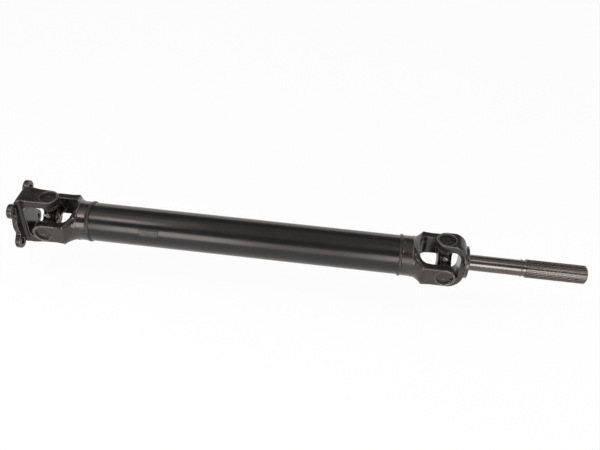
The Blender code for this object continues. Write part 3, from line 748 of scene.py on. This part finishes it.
@dataclass
class TubeAssembly:
    """The painted tube between the two welds, its weld beads and its balance weight."""

    wall: float = 0.0024
    gap: float = 0.00015
    edge: float = 0.0006
    bead_width: float = 0.0055
    bead_foot: float = 0.0003
    bead_height: float = 0.0019
    ripples: int = 92
    weight_from_weld: float = 0.089
    weight_length: float = 0.033
    weight_arc: float = 0.0125
    weight_thickness: float = 0.0012
    weight_edge: float = 0.0009
    weight_angle: float = math.radians(23)
    spot_places: tuple[float, float] = (0.27, 0.73)
    spot_depth: float = 0.0003
    spot_radius: float = 0.0024

    def tube(self) -> Surface:
        """The tube about Z: a rectangle of the wall's section, with rounded corners, carried round.

        Returns:
            The surface.
        """
        low, high = FRONT_WELD + self.gap, REAR_WELD - self.gap
        inner = TUBE_RADIUS - self.wall
        section = [(low, inner), (low, TUBE_RADIUS), (high, TUBE_RADIUS), (high, inner)]
        return lathed(rounded(section, self.edge), 160)

    def bead(self, x: float) -> Surface:
        """A weld bead: half a rounded hump carried round the tube. Its height is h sin(s)^0.8, and both
        height and place shift by small ripples, sin(n a + 1.4 sin s), as crescents of weld metal do.

        Args:
            x: The middle of the seam.

        Returns:
            The surface.
        """
        around = np.linspace(0, math.tau, 8 * self.ripples, endpoint=False)[None, :]
        across = np.linspace(0, math.pi, 15)[:, None]
        ripple = np.sin(self.ripples * around + 1.4 * np.sin(across) + 0.5 * np.sin(7 * around))
        wander = 0.00012 * np.sin(5 * around + 1.0) + 0.00008 * np.sin(11 * around)
        rise = self.bead_height * np.sin(across) ** 0.8 * (0.93 + 0.05 * ripple)
        along = x - self.bead_width / 2 * np.cos(across) + wander
        return Surface(polar(along, TUBE_RADIUS + self.bead_foot + rise, around), closed_rows=True)

    def balance_weight(self) -> list[Surface]:
        """A curved plate. Its outer face falls to the inner one near its border as 1 - (1 - d)^4, where d
        is the distance to the border over the plate's edge radius, and two spot welds dimple it.

        Returns:
            Its outer and inner face.
        """
        u = np.linspace(-1, 1, 49)[:, None]
        v = np.linspace(-1, 1, 97)[None, :]
        half_arc, half_length = self.weight_arc / 2, self.weight_length / 2
        across, along = u * half_arc, (v + 1) * half_length
        to_border = np.minimum((1 - np.abs(u)) * half_arc, (1 - np.abs(v)) * half_length)
        share = np.clip(to_border / self.weight_edge, 0, 1)
        inner = TUBE_RADIUS + self.bead_foot
        outer = inner + self.weight_thickness * (1 - (1 - share) ** 4)
        for place in self.spot_places:
            reach = np.hypot(along - self.weight_length * place, across)
            outer = outer - self.spot_depth * np.exp(-((reach / self.spot_radius) ** 2))
        x = FRONT_WELD + self.weight_from_weld + along
        angle = math.pi - self.weight_angle - across / TUBE_RADIUS
        return [Surface(polar(x, radius, angle), closed_columns=False) for radius in (outer, inner)]

    def build(self) -> None:
        """Makes and dresses every piece."""
        tube = mesh_object("painted_tube", [self.tube()], upright_to_x(), sharp=CRISP)
        dress(tube, TUBE_PAINT, TUBE_BODY, Slot.TUBE, "tube")
        for end, x in (("front", FRONT_WELD), ("rear", REAR_WELD)):
            bead = mesh_object(end + "_rippled_weld", [self.bead(x)], Matrix.Identity(4), sharp=60)
            dress(bead, WELD_PAINT, TUBE_BODY, Slot.WELD, end + "_weld_bead")
        weight = mesh_object("curved_balance_weight", self.balance_weight(), Matrix.Identity(4), sharp=CRISP)
        dress(weight, WEIGHT_PAINT, TUBE_BODY, Slot.TUBE, "balance_weight")


# ---- Yokes ----


@dataclass(frozen=True)
class Arch:
    """The space between a yoke's ears.

    Attributes:
        saddle: Where it ends, from the bearing axis.
        length: Reach of its two rounded corners along the shaft.
        corner: Their reach towards the shaft's axis.
    """

    saddle: float
    length: float
    corner: float


@dataclass(frozen=True)
class Ears:
    """What the two ears of every yoke share. A yoke is made with its ears along Z, its base towards +X."""

    face: float = 0.0446
    radius: float = 0.0173
    inner: float = 0.0315
    corner: float = 0.0018
    bore: float = 0.0138
    groove_low: float = 0.041
    groove_high: float = 0.0429
    groove_radius: float = 0.0146
    mouth_depth: float = 0.0006
    mouth_slope: float = 0.0016
    margin: float = 0.02
    half_width: float = 0.035

    def tip_sections(self) -> np.ndarray:
        """Sections of the round tips: half width is the radius times the cosine of the angle, at the radius
        times its sine before the bearing axis.

        Returns:
            Rows of x, half width, half height and corner.
        """
        angle = np.radians(np.linspace(84, 0, 22))
        rows = np.full((angle.size, 4), (0.0, 0.0, self.face, self.corner))
        rows[:, 0] = -self.radius * np.sin(angle)
        rows[:, 1] = self.radius * np.cos(angle)
        return rows

    def opening(self, arch: Arch) -> Surface:
        """The space between the ears: flat sides that turn into the saddle over two quarter ellipses.

        Args:
            arch: Its sizes.

        Returns:
            The cutter.
        """
        angle = np.linspace(0, math.pi / 2, 17)
        x = arch.saddle - arch.length + arch.length * np.sin(angle)
        z = self.inner - arch.corner + arch.corner * np.cos(angle)
        tip = -self.radius - self.margin
        x = np.concatenate((x, x[::-1], [tip, tip]))
        z = np.concatenate((z, -z[::-1], [-self.inner, self.inner]))
        side = np.array((0, self.half_width + self.margin, 0))
        outline = np.stack((x, 0 * x, z), axis=-1)
        return Surface(np.stack((outline - side, outline + side)))

    def bores(self) -> Surface:
        """Both bores, with a chamfered mouth and a groove for a snap ring near each face.

        Returns:
            The cutter.
        """
        end = self.face + self.margin
        mouth = self.face - self.mouth_depth
        half = [
            (self.groove_low, self.bore),
            (self.groove_low, self.groove_radius),
            (self.groove_high, self.groove_radius),
            (self.groove_high, self.bore),
            (mouth, self.bore),
            (mouth + self.mouth_slope, self.bore + self.mouth_slope),
            (end, self.bore + self.mouth_slope),
            (end, 0.0),
        ]
        return lathed(mirrored(half), 96)

    def forged(
        self,
        name: str,
        skin: Surface,
        arch: Arch,
        place: Matrix,
        added: tuple[bpy.types.Object, ...] = (),
        drills: tuple[bpy.types.Object, ...] = (),
    ) -> bpy.types.Object:
        """Makes a yoke: its skin with the space between its ears and the bores cut out.

        Args:
            name: The yoke's name.
            skin: Its outer surface.
            arch: Sizes of the space between its ears.
            place: Where it goes.
            added: What else is joined to it.
            drills: What else is cut out of it.

        Returns:
            The piece.
        """
        yoke = mesh_object(name, [skin], place)
        space = mesh_object(name + "_arch", [self.opening(arch)], place)
        bores = mesh_object(name + "_bores", [self.bores()], place)
        forge(yoke, [space, bores, *drills], added)
        return yoke


@dataclass
class WeldYoke:
    """A forged yoke with a round hub that is welded to the tube."""

    end: str
    joint: float
    turn: float
    ears: Ears
    arch: Arch = Arch(0.0405, 0.014, 0.015)
    shoulder: float = 0.0525
    swell_at: float = 0.036
    swell_height: float = 0.0455
    swell_width: float = 0.0190
    hub: float = 0.0332
    step: float = 0.0012
    bead_room: float = 0.00305

    def skin(self) -> Surface:
        """Ears, the swelling at their root, a step and the hub. From the swelling to the step, over a share
        t from 0 to 1, height falls by (1 - cos pi t)/2, width grows by t^1.5 and the corner by t^0.7.

        Returns:
            The yoke's outer surface.
        """
        ears = self.ears
        end = self.hub + self.step
        corner = 2 * ears.corner
        t = np.linspace(0, 1, 36)
        blend = (
            self.swell_at + (self.shoulder - self.swell_at) * t,
            self.swell_width + (end - self.swell_width) * t**1.5,
            self.swell_height + (end - self.swell_height) * (1 - np.cos(math.pi * t)) / 2,
            corner + (end - corner) * t**0.7,
        )
        swell = np.stack(blend, axis=-1)
        root = [
            (self.swell_at * 0.3, ears.radius, ears.face, ears.corner),
            (self.swell_at * 0.6, ears.radius, ears.face, ears.corner * 1.1),
            (self.swell_at * 0.8, ears.radius + 0.0006, ears.face + 0.0004, ears.corner * 1.4),
        ]
        neck = JOINT_TO_WELD - self.bead_room
        fall = neck - (self.hub - TUBE_RADIUS) * 1.5
        places = (self.shoulder + self.step / 2, fall, neck, JOINT_TO_WELD)
        radii = (self.hub, self.hub, TUBE_RADIUS, TUBE_RADIUS)
        hub = [(x, r, r, r) for x, r in zip(places, radii)]
        return rounded_rectangles(np.concatenate((ears.tip_sections(), root, swell, hub)))

    def build(self) -> None:
        """Makes the yoke and dresses it."""
        turn = Matrix.Rotation(math.radians(self.turn), 4, "Z") @ about_x(90)
        place = Matrix.Translation((self.joint, 0, 0)) @ turn
        yoke = self.ears.forged(self.end + "_forged_weld_yoke", self.skin(), self.arch, place)
        dress(yoke, YOKE_PAINT, TUBE_BODY, Slot.YOKE, self.end + "_weld_yoke")


@dataclass
class FlangeYoke:
    """The yoke that bolts on: ears along Z, and a disc with four bolt lugs between them."""

    ears: Ears
    thickness: float = 0.0090
    disc_radius: float = 0.0365
    bolt_circle: float = 0.046
    hole_radius: float = 0.00525
    lug_radius: float = 0.0125
    root_fillet: float = 0.005
    arch: Arch = Arch(0.0390, 0.008, 0.009)
    root_height: float = 0.0463
    root_width: float = 0.0192
    root_fillet_width: float = 0.004
    edge: float = 0.0008

    def outline(self) -> np.ndarray:
        """The plate's outline: each lug is half a circle about its bolt, which runs into the disc over two
        hollow fillets, and the disc shows between lugs.

        Returns:
            Points x 3, across the shaft.
        """
        side, fillet = self.lug_radius, self.root_fillet
        centre_out = math.sqrt((self.disc_radius + fillet) ** 2 - (side + fillet) ** 2)
        start = math.atan2(side + fillet, centre_out)
        tip = np.linspace(0, math.pi / 2, 13)
        hollow = -math.pi / 2 - (math.pi / 2 - start) * np.linspace(0, 1, 8)
        out = np.concatenate((self.bolt_circle + side * np.cos(tip), centre_out + fillet * np.cos(hollow)))
        up = np.concatenate((side * np.sin(tip), side + fillet + fillet * np.sin(hollow)))
        out = np.concatenate((out[:0:-1], out))
        up = np.concatenate((-up[:0:-1], up))
        turn = np.arctan2(up, out)
        rim = np.linspace(turn[-1], math.pi / 2 - turn[-1], 8)[1:-1]
        reach = np.tile(np.concatenate((np.hypot(out, up), np.full(rim.size, self.disc_radius))), 4)
        quarter = (np.arange(4) * math.pi / 2 + math.pi / 4)[:, None]
        return polar(0.0, reach, (np.concatenate((turn, rim)) + quarter).ravel())

    def root(self) -> Surface:
        """The ears and their root, as far as half way into the flange.

        Returns:
            The surface.
        """
        ears, width, height = self.ears, self.root_width, self.root_height
        face = FRONT_JOINT - self.thickness
        drop = height - self.disc_radius
        wide = width + self.root_fillet_width / 2
        depth = self.thickness - self.edge
        root = [
            (self.arch.saddle * 0.45, ears.radius + 0.0004, ears.face + 0.0003, ears.corner),
            (self.arch.saddle * 0.85, width, height, ears.corner * 1.2),
            (face - self.root_fillet_width, width, height, ears.corner * 1.5),
        ]
        for t in np.linspace(0, 1, 8)[1:]:
            root.append((face + depth * t, wide, height - drop * t**1.5, ears.corner * 2.4))
        return rounded_rectangles(np.concatenate((ears.tip_sections(), root)))

    def plate(self) -> Surface:
        """The flange's plate: its outline drawn in a little at both faces, as a chamfer.

        Returns:
            The surface.
        """
        outline = self.outline()
        drawn_in = outline * (1 - self.edge / np.hypot(outline[:, 1], outline[:, 2])[:, None])
        rings = np.stack((drawn_in, outline, outline, drawn_in))
        rings[..., 0] = np.array((0.0, self.edge, self.thickness - self.edge, self.thickness))[:, None]
        return Surface(rings)

    def build(self) -> None:
        """Makes the yoke and dresses it."""
        name = "forged_flange_yoke"
        place = Matrix.Translation((FRONT_JOINT, 0, 0)) @ Matrix.Rotation(math.pi, 4, "Z")
        plate = mesh_object(name + "_plate", [self.plate()], Matrix.Identity(4))
        low, high, radius = -0.02, 0.03, self.hole_radius
        hole = lathed(np.array([(low, 0.0), (low, radius), (high, radius), (high, 0.0)]), 48)
        drills = []
        for degrees in (45, 135, 225, 315):
            angle = math.radians(degrees)
            y, z = self.bolt_circle * math.cos(angle), self.bolt_circle * math.sin(angle)
            bolt = Matrix.Translation((0, y, z)) @ upright_to_x()
            drills.append(mesh_object(f"{name}_hole_{degrees}", [hole], bolt))
        yoke = self.ears.forged(name, self.root(), self.arch, place, (plate,), tuple(drills))
        dress(yoke, FLANGE_COAT, "flange_yoke_body", Slot.FLANGE, "flange_yoke")


@dataclass
class StubYoke:
    """The yoke with its turned collar, plain shaft, ring, groove and splined end."""

    ears: Ears
    arch: Arch = Arch(0.0245, 0.012, 0.014)
    crown_end: float = 0.033
    collar_radius: float = 0.0265
    collar_end: float = 0.0385
    collar_chamfer: float = 0.001
    shaft_radius: float = 0.0131
    fillet: float = 0.003
    overlap: float = 0.003
    length: float = 0.2275
    spline_length: float = 0.0975
    groove_length: float = 0.0045
    ring_length: float = 0.0025
    ring_radius: float = 0.0142
    ring_slope: float = 0.0004
    ring_edge: float = 0.0005
    spline_outer: float = 0.0149
    spline_root: float = 0.0133
    teeth: int = 28
    steps_per_tooth: int = 14
    end_chamfer: float = 0.003
    body: str = "stub_yoke_body"

    @property
    def spline_start(self) -> float:
        """Where the teeth start, from the joint."""
        return self.length - self.spline_length

    def crown(self) -> Surface:
        """Ears and crown: over a quarter turn the half height falls by 1 - cos and x grows by sin, while
        width and corner grow towards the collar's circle.

        Returns:
            The surface, as far as the collar's end.
        """
        ears, r = self.ears, self.collar_radius
        share = np.linspace(0, 1, 36)[1:]
        angle = share * math.pi / 2
        start = self.arch.saddle / 2
        crown = (
            start + (self.crown_end - start) * np.sin(angle),
            ears.radius + (r - ears.radius) * share**2,
            ears.face - (ears.face - r) * (1 - np.cos(angle)),
            ears.corner + (r - ears.corner) * share**1.5,
        )
        small = r - self.collar_chamfer
        collar = [(self.collar_end - self.collar_chamfer, r, r, r), (self.collar_end, small, small, small)]
        return rounded_rectangles(np.concatenate((ears.tip_sections(), np.stack(crown, axis=-1), collar)))

    def turned_shaft(self) -> Surface:
        """The plain shaft about Z, with the fillet at its root, the raised ring and the groove before the
        teeth.

        Returns:
            The surface.
        """
        start, radius = self.collar_end, self.shaft_radius
        end = self.spline_start + self.overlap
        groove = self.spline_start - self.groove_length
        ring = groove - self.ring_length
        turn = np.linspace(0, math.pi / 2, 9)
        root = np.stack((self.fillet * (1 - np.cos(turn)), self.fillet * (1 - np.sin(turn))), axis=-1)
        body = [
            (start + self.fillet, radius),
            (ring, radius),
            (ring + self.ring_slope, self.ring_radius),
            (groove - self.ring_slope, self.ring_radius),
            (groove, radius),
            (end, radius),
        ]
        outside = rounded(body, self.ring_edge, closed=False)
        back = start - self.overlap
        inside = [(end, 0.0), (back, 0.0), (back, radius + self.fillet)]
        return lathed(np.concatenate((root + (start, radius), outside, inside)), 128)

    def spline(self) -> Surface:
        """The teeth: radius goes from root to crest by a smooth step of the angle's place in its pitch, and
        both fall along a chamfer at the ends.

        Returns:
            The surface.
        """
        around = np.linspace(0, math.tau, self.teeth * self.steps_per_tooth, endpoint=False)
        place = np.abs((around * self.teeth / math.tau + 0.5) % 1 - 0.5)
        crest = smooth_step((0.34 - place) / 0.15)
        start, end, cut = self.spline_start, self.length, self.end_chamfer
        low, high, nick = self.spline_root, self.spline_outer, 0.0002
        stations = np.array(
            [
                (start, low + 0.0001),
                (start + 0.0008, high - 0.0001),
                (start + 0.0012, high),
                (end - cut, high),
                (end - cut / 2, high - cut / 2),
                (end - nick, high - cut),
                (end, high - cut - nick),
                (end, 0.0),
            ]
        )
        outer = stations[:, 1:]
        root = np.minimum(low, outer)
        return Surface(polar(stations[:, :1], root + (outer - root) * crest, around))

    def build(self) -> None:
        """Makes the yoke's three pieces and dresses them."""
        place = Matrix.Translation((REAR_JOINT, 0, 0))
        yoke = self.ears.forged("forged_stub_yoke", self.crown(), self.arch, place)
        dress(yoke, STUB_FORGED, self.body, Slot.STUB, "stub_yoke")
        turned = mesh_object("turned_stub_shaft", [self.turned_shaft()], place @ upright_to_x())
        dress(turned, STUB_TURNED, self.body, Slot.STUB)
        spline = mesh_object("splined_stub_end", [self.spline()], place, sharp=32)
        dress(spline, SPLINE_STEEL, self.body, Slot.STUB)


# ---- Crosses and bearings ----


@dataclass
class CrossJoint:
    """One cross with its grease nipple and what its four ears hold. Its pieces are made about Z."""

    end: str
    x: float
    outer_body: str
    shoulder_radius: float = 0.0118
    shoulder_height: float = 0.0222
    journal_radius: float = 0.0087
    journal_end: float = 0.0368
    body_radius: float = 0.0175
    body_half: float = 0.01075
    body_chamfer: float = 0.003
    boss_radius: float = 0.0048
    boss_height: float = 0.0215
    voxel: float = 0.0006
    cap_radius: float = 0.0135
    cap_face: float = 0.041
    cap_length: float = 0.0155
    cap_wall: float = 0.0022
    cap_floor: float = 0.0026
    cap_edge: float = 0.0007
    dish_radius: float = 0.0058
    dish_depth: float = 0.0007
    ring_base: float = 0.0413
    ring_thickness: float = 0.0013
    ring_outer: float = 0.0143
    ring_section: float = 0.0021
    ring_opening: float = math.radians(40)
    ring_lug: float = 0.0022
    lug_angle: float = math.radians(17)
    lug_blend: float = math.radians(5)
    nipple_height: float = 0.0125
    nipple_stem: float = 0.0022
    nipple_ball: float = 0.0033
    seal_low: float = 0.023
    seal_radius: float = 0.0131
    seal_hole: float = 0.009
    seal_collar: float = 0.011

    @property
    def cap_mouth(self) -> float:
        """Where a cap's open end is, from the joint's centre."""
        return self.cap_face - self.cap_length

    def cross(self) -> bpy.types.Object:
        """The cross: two trunnion pairs, a turned body and a boss, which the voxels join into one.

        Returns:
            The piece.
        """
        half = [
            (self.shoulder_height, self.shoulder_radius),
            (self.shoulder_height, self.journal_radius),
            (self.journal_end, self.journal_radius),
            (self.journal_end, 0.0),
        ]
        b, r, e = self.body_half, self.body_radius, self.body_chamfer
        body = mirrored([(b - e, r), (b, r - e), (b, 0.0)])
        top = self.boss_height
        boss = np.array([(0.0, 0.0), (0.0, self.boss_radius), (top, self.boss_radius), (top, 0.0)])
        place = Matrix.Translation((self.x, 0, 0))
        pair = lathed(mirrored(half), 64)
        cross = mesh_object(self.end + "_forged_cross", [pair], place)
        side = mesh_object("side", [pair], place @ about_x(90))
        middle = mesh_object("body", [lathed(body, 64)], place @ upright_to_x())
        knob = mesh_object("boss", [lathed(boss, 40)], place @ about_x(45))
        forge(cross, [], (side, middle, knob), self.voxel)
        return cross

    def nipple(self) -> list[Surface]:
        """The grease nipple: a chamfered hexagon and a turned stem with a ball head.

        Returns:
            Both surfaces.
        """
        base = self.boss_height + 0.0003
        top = base + self.nipple_height
        stem, ball = self.nipple_stem, self.nipple_ball
        profile = [
            (base + 0.002, 0.0),
            (base + 0.002, stem),
            (top - 2 * ball, stem),
            (top - 1.4 * ball, ball),
            (top - 0.7 * ball, ball),
            (top - 0.1 * ball, 0.5 * ball),
            (top, 0.42 * ball),
            (top, 0.0006),
            (top - 0.0012, 0.0),
        ]
        hexagon = [(0.0, 0.0), (0.0, 0.0042), (0.0034, 0.0042), (0.0042, 0.0036), (0.0042, 0.0)]
        turned = rounded(profile, 0.0006, closed=False)
        return [lathed(np.array(hexagon) + (base, 0.0), 6), lathed(turned, 40)]

    def cap(self) -> Surface:
        """A bearing cap: a drawn cup with rounded edges and a shallow dish with a raised middle.

        Returns:
            The surface.
        """
        face, radius, edge = self.cap_face, self.cap_radius, self.cap_edge
        floor, inner = face - self.cap_floor, radius - self.cap_wall
        dish = face - self.dish_depth
        profile = [
            (dish + 0.0002, 0.0),
            (dish, self.dish_radius * 0.45),
            (dish, self.dish_radius - 0.0014),
            (face, self.dish_radius),
            (face, radius - edge),
            (face - edge, radius),
            (self.cap_mouth, radius),
            (self.cap_mouth, inner),
            (floor, inner),
            (floor, 0.0),
        ]
        return lathed(rounded(profile, 0.0005, closed=False), 72)

    def snap_ring(self) -> Surface:
        """An open spring ring: a rounded rectangle carried round an arc. Its inner radius drops by a smooth
        step near both ends, which makes the two lugs.

        Returns:
            The surface.
        """
        half = self.ring_opening / 2
        around = np.linspace(half, math.tau - half, 97)[:, None]
        reach = np.minimum(around - half, math.tau - half - around)
        lug = self.ring_lug * smooth_step((self.lug_angle - reach) / self.lug_blend)
        section = rounded([(0, 0), (1, 0), (1, 1), (0, 1)], 0.14, 3)
        inner = self.ring_outer - self.ring_section - lug
        radius = inner + (self.ring_outer - inner) * section[:, 0]
        height = self.ring_base + self.ring_thickness * section[:, 1]
        return Surface(upright(polar(height, radius, around)))

    def seal(self) -> Surface:
        """A rubber seal over the cap's mouth, with a soft lip on its outer edge.

        Returns:
            The surface.
        """
        low, high, radius = self.seal_low, self.cap_mouth - 0.0003, self.seal_radius
        profile = [
            (low, self.seal_hole),
            (low, radius - 0.0009),
            (low + 0.0008, radius),
            (high - 0.0006, radius),
            (high, radius - 0.0003),
            (high, self.seal_collar),
            (high + 0.0017, self.seal_collar),
            (high + 0.0017, self.seal_hole),
        ]
        return lathed(rounded(profile, 0.0004), 64)

    def build(self, nodes: dict[str, bpy.types.Object]) -> None:
        """Makes and dresses every piece, and gives the hidden rollers and washers their finishes.

        Args:
            nodes: The CAD nodes.
        """
        middle = Matrix.Translation((self.x, 0, 0))
        cross_body = self.end + "_cross_body"
        dress(self.cross(), CROSS_STEEL, cross_body, Slot.CROSS, self.end + "_cross")
        nipple = mesh_object(self.end + "_turned_grease_nipple", self.nipple(), middle @ about_x(45))
        dress(nipple, NIPPLE_PLATE, cross_body, Slot.NIPPLE, self.end + "_grease_nipple")
        parts = (
            ("drawn_cap", self.cap(), CAP_STEEL, Slot.BEARING, "bearing_cap"),
            ("open_ring", self.snap_ring(), RING_STEEL, Slot.RING, "snap_ring"),
            ("lip_seal", self.seal(), SEAL_RUBBER, Slot.SEAL, "bearing_seal"),
        )
        for ear in Ear:
            body = TUBE_BODY if ear in (Ear.NEAR, Ear.FAR) else self.outer_body
            stem = f"{self.end}_{ear.label}_"
            for name, surface, finish, slot, node in parts:
                piece = mesh_object(stem + name, [surface], middle @ about_x(ear.value), sharp=CRISP)
                dress(piece, finish, body, slot, stem + node)
            for node, finish in (("needle_rollers", NEEDLE_STEEL), ("thrust_washer", WASHER_NYLON)):
                for held in nodes[stem + node].material_slots:
                    held.material = finish.material()


# ---- Studio ----


@dataclass(frozen=True)
class Lamp:
    """A soft rectangular lamp that faces the shaft.

    Attributes:
        name: The lamp's name.
        middle: The place of its middle along the shaft.
        length: Its side along the shaft.
        width: Its other side.
        elevation: Degrees above the floor, seen from the shaft. Past 90 it stands behind.
        distance: How far from the shaft's axis it stands.
        brightness: How bright its face is, where white paper in the room is 1.
        colour: The colour of its light.
    """

    name: str
    middle: float
    length: float
    width: float
    elevation: float
    distance: float
    brightness: float
    colour: Colour = (1.0, 0.955, 0.93)

    def build(self) -> None:
        """Adds the lamp. A face of area A and brightness b gives pi A b watts."""
        light = bpy.data.lights.new(self.name, "AREA")
        light.shape = "RECTANGLE"
        light.size, light.size_y = self.length, self.width
        light.energy = math.pi * self.length * self.width * self.brightness
        light.color = self.colour
        made = bpy.data.objects.new(self.name, light)
        bpy.context.scene.collection.objects.link(made)
        angle = math.radians(self.elevation)
        made.location = (self.middle, -self.distance * math.cos(angle), self.distance * math.sin(angle))
        made.rotation_euler = (math.pi / 2 - angle, 0, 0)


LAMPS = (
    Lamp("front_left", -0.33, 0.90, 0.85, 12, 1.7, 4.9),
    Lamp("front_middle", 0.50, 0.76, 0.85, 12, 1.7, 1.3),
    Lamp("front_right", 1.33, 0.90, 0.85, 13, 1.7, 5.4),
    Lamp("overhead_left", -0.54, 0.44, 0.42, 66, 1.5, 7.0),
    Lamp("overhead_wide", -0.40, 0.70, 0.70, 86, 1.5, 1.0),
    Lamp("overhead_right", 1.30, 0.60, 0.35, 75, 1.5, 3.2),
    Lamp("ceiling", 0.40, 2.60, 1.80, 90, 1.5, 0.35),
    Lamp("rear", 0.45, 2.60, 0.45, 164, 2.2, 0.5),
)


@dataclass
class Studio:
    """The photograph's camera, a pale floor and soft lamps.

    Attributes:
        axis: The shaft's direction in the camera's axes (x right, y down, z ahead).
        point: One of its points in those axes.
        point_x: Where that point lies along the shaft.
        roll: How far +Z is turned about the shaft.
        sensor: Width of the camera's sensor in millimetres, as its focal length, lens, is.
        floor_z: Height of the floor, low enough for the stub to swing.
        floor_reach: Radius of the floor.
        cove: Radius of the curve that its rim goes up by.
        paper: How light the floor is.
        glow: How bright the white is that the camera sees in it, and glow_share how much of it.
        room_light: How bright the room is all round.
    """

    axis: tuple[float, float, float] = (0.99118, 0.10628, -0.07842)
    point: tuple[float, float, float] = (-0.09197, 0.02146, 1.204)
    point_x: float = 0.3882
    roll: float = math.radians(41)
    sensor: float = 36.0
    lens: float = 43.2
    floor_z: float = -0.112
    floor_reach: float = 8.0
    cove: float = 3.2
    paper: float = 0.9
    glow: float = 1.04
    glow_share: float = 0.90
    room_light: float = 0.20

    def camera_frame(self) -> Matrix:
        """The world seen from the camera, from the shaft's fitted direction, its point and the roll.

        Returns:
            World to camera.
        """
        a = Vector(self.axis).normalized()
        up = Vector((0, -1, 0))
        rise = (up - a * up.dot(a)).normalized()
        toward = a.cross(rise)
        if toward.z > 0:
            toward.negate()
        z = rise * math.cos(self.roll) + toward * math.sin(self.roll)
        matrix = Matrix((a, z.cross(a), z)).transposed().to_4x4()
        matrix.translation = Vector(self.point) - a * self.point_x
        return Matrix.Diagonal((1, -1, -1, 1)) @ matrix

    def camera(self) -> None:
        """Adds the camera."""
        made = bpy.data.objects.new("camera", bpy.data.cameras.new("camera"))
        bpy.context.scene.collection.objects.link(made)
        made.matrix_world = self.camera_frame().inverted()
        made.data.sensor_width = self.sensor
        made.data.lens = self.lens
        made.data.clip_end = 100
        bpy.context.scene.camera = made

    def floor(self) -> None:
        """Adds the floor, a disc whose rim curves up as a backdrop: over a quarter turn t, the radius grows
        by cove sin t and the height by cove (1 - cos t). Its colour is near white, and camera, glossy and
        transmitted rays see some of that white as light, so that only a faint shadow shows on it.
        """
        t = np.linspace(0, math.pi / 2, 13)[1:]
        flat = self.floor_reach - self.cove
        radius = np.concatenate((np.linspace(0, flat, 8), flat + self.cove * np.sin(t)))[:, None]
        height = np.concatenate((np.zeros(8), self.cove * (1 - np.cos(t))))[:, None]
        points = upright(polar(height, radius, np.linspace(0, math.tau, 97)))
        place = Matrix.Translation((self.point_x, 0, self.floor_z))
        floor = mesh_object("floor", [Surface(points, closed_columns=False)], place)
        paper = bpy.data.materials.new("white_paper")
        paper.use_nodes = True
        nodes = Nodes(paper.node_tree)
        shader = paper.node_tree.nodes["Principled BSDF"]
        nodes.feed(shader.inputs["Base Color"], (self.paper, self.paper, self.paper))
        nodes.feed(shader.inputs["Roughness"], 0.9)
        nodes.feed(shader.inputs["Specular IOR Level"], 0.0)
        path = nodes.add("LightPath").outputs
        seen = nodes.math("MAXIMUM", path["Is Camera Ray"], path["Is Glossy Ray"])
        seen = nodes.math("MAXIMUM", seen, path["Is Transmission Ray"])
        share = nodes.math("MULTIPLY", seen, self.glow_share)
        glow = nodes.add("Emission", {"Color": (1.0, 1.0, 1.0), "Strength": self.glow})
        blend = nodes.add("MixShader", {0: share, 1: shader.outputs[0], 2: glow.outputs[0]})
        nodes.feed(paper.node_tree.nodes["Material Output"].inputs["Surface"], blend.outputs[0])
        floor.data.materials.append(paper)

    def build(self) -> None:
        """Sets the stage."""
        scene = bpy.context.scene
        scene.view_settings.view_transform = "Standard"
        scene.world = bpy.data.worlds.new("room")
        scene.world.use_nodes = True
        room = scene.world.node_tree.nodes["Background"].inputs
        room["Color"].default_value = (1, 1, 1, 1)
        room["Strength"].default_value = self.room_light
        self.camera()
        self.floor()
        for lamp in LAMPS:
            lamp.build()


def main() -> None:
    """Builds the shaft around the frame, and its studio."""
    logging.basicConfig(level=logging.INFO, format="%(name)s: %(message)s")
    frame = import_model()
    ears = Ears()
    Studio().build()
    TubeAssembly().build()
    WeldYoke("front", FRONT_JOINT, 0, ears).build()
    WeldYoke("rear", REAR_JOINT, 180, ears).build()
    FlangeYoke(ears).build()
    StubYoke(ears).build()
    CrossJoint("front", FRONT_JOINT, "flange_yoke_body").build(frame["nodes"])
    CrossJoint("rear", REAR_JOINT, "stub_yoke_body").build(frame["nodes"])


if __name__ == "__main__":
    main()
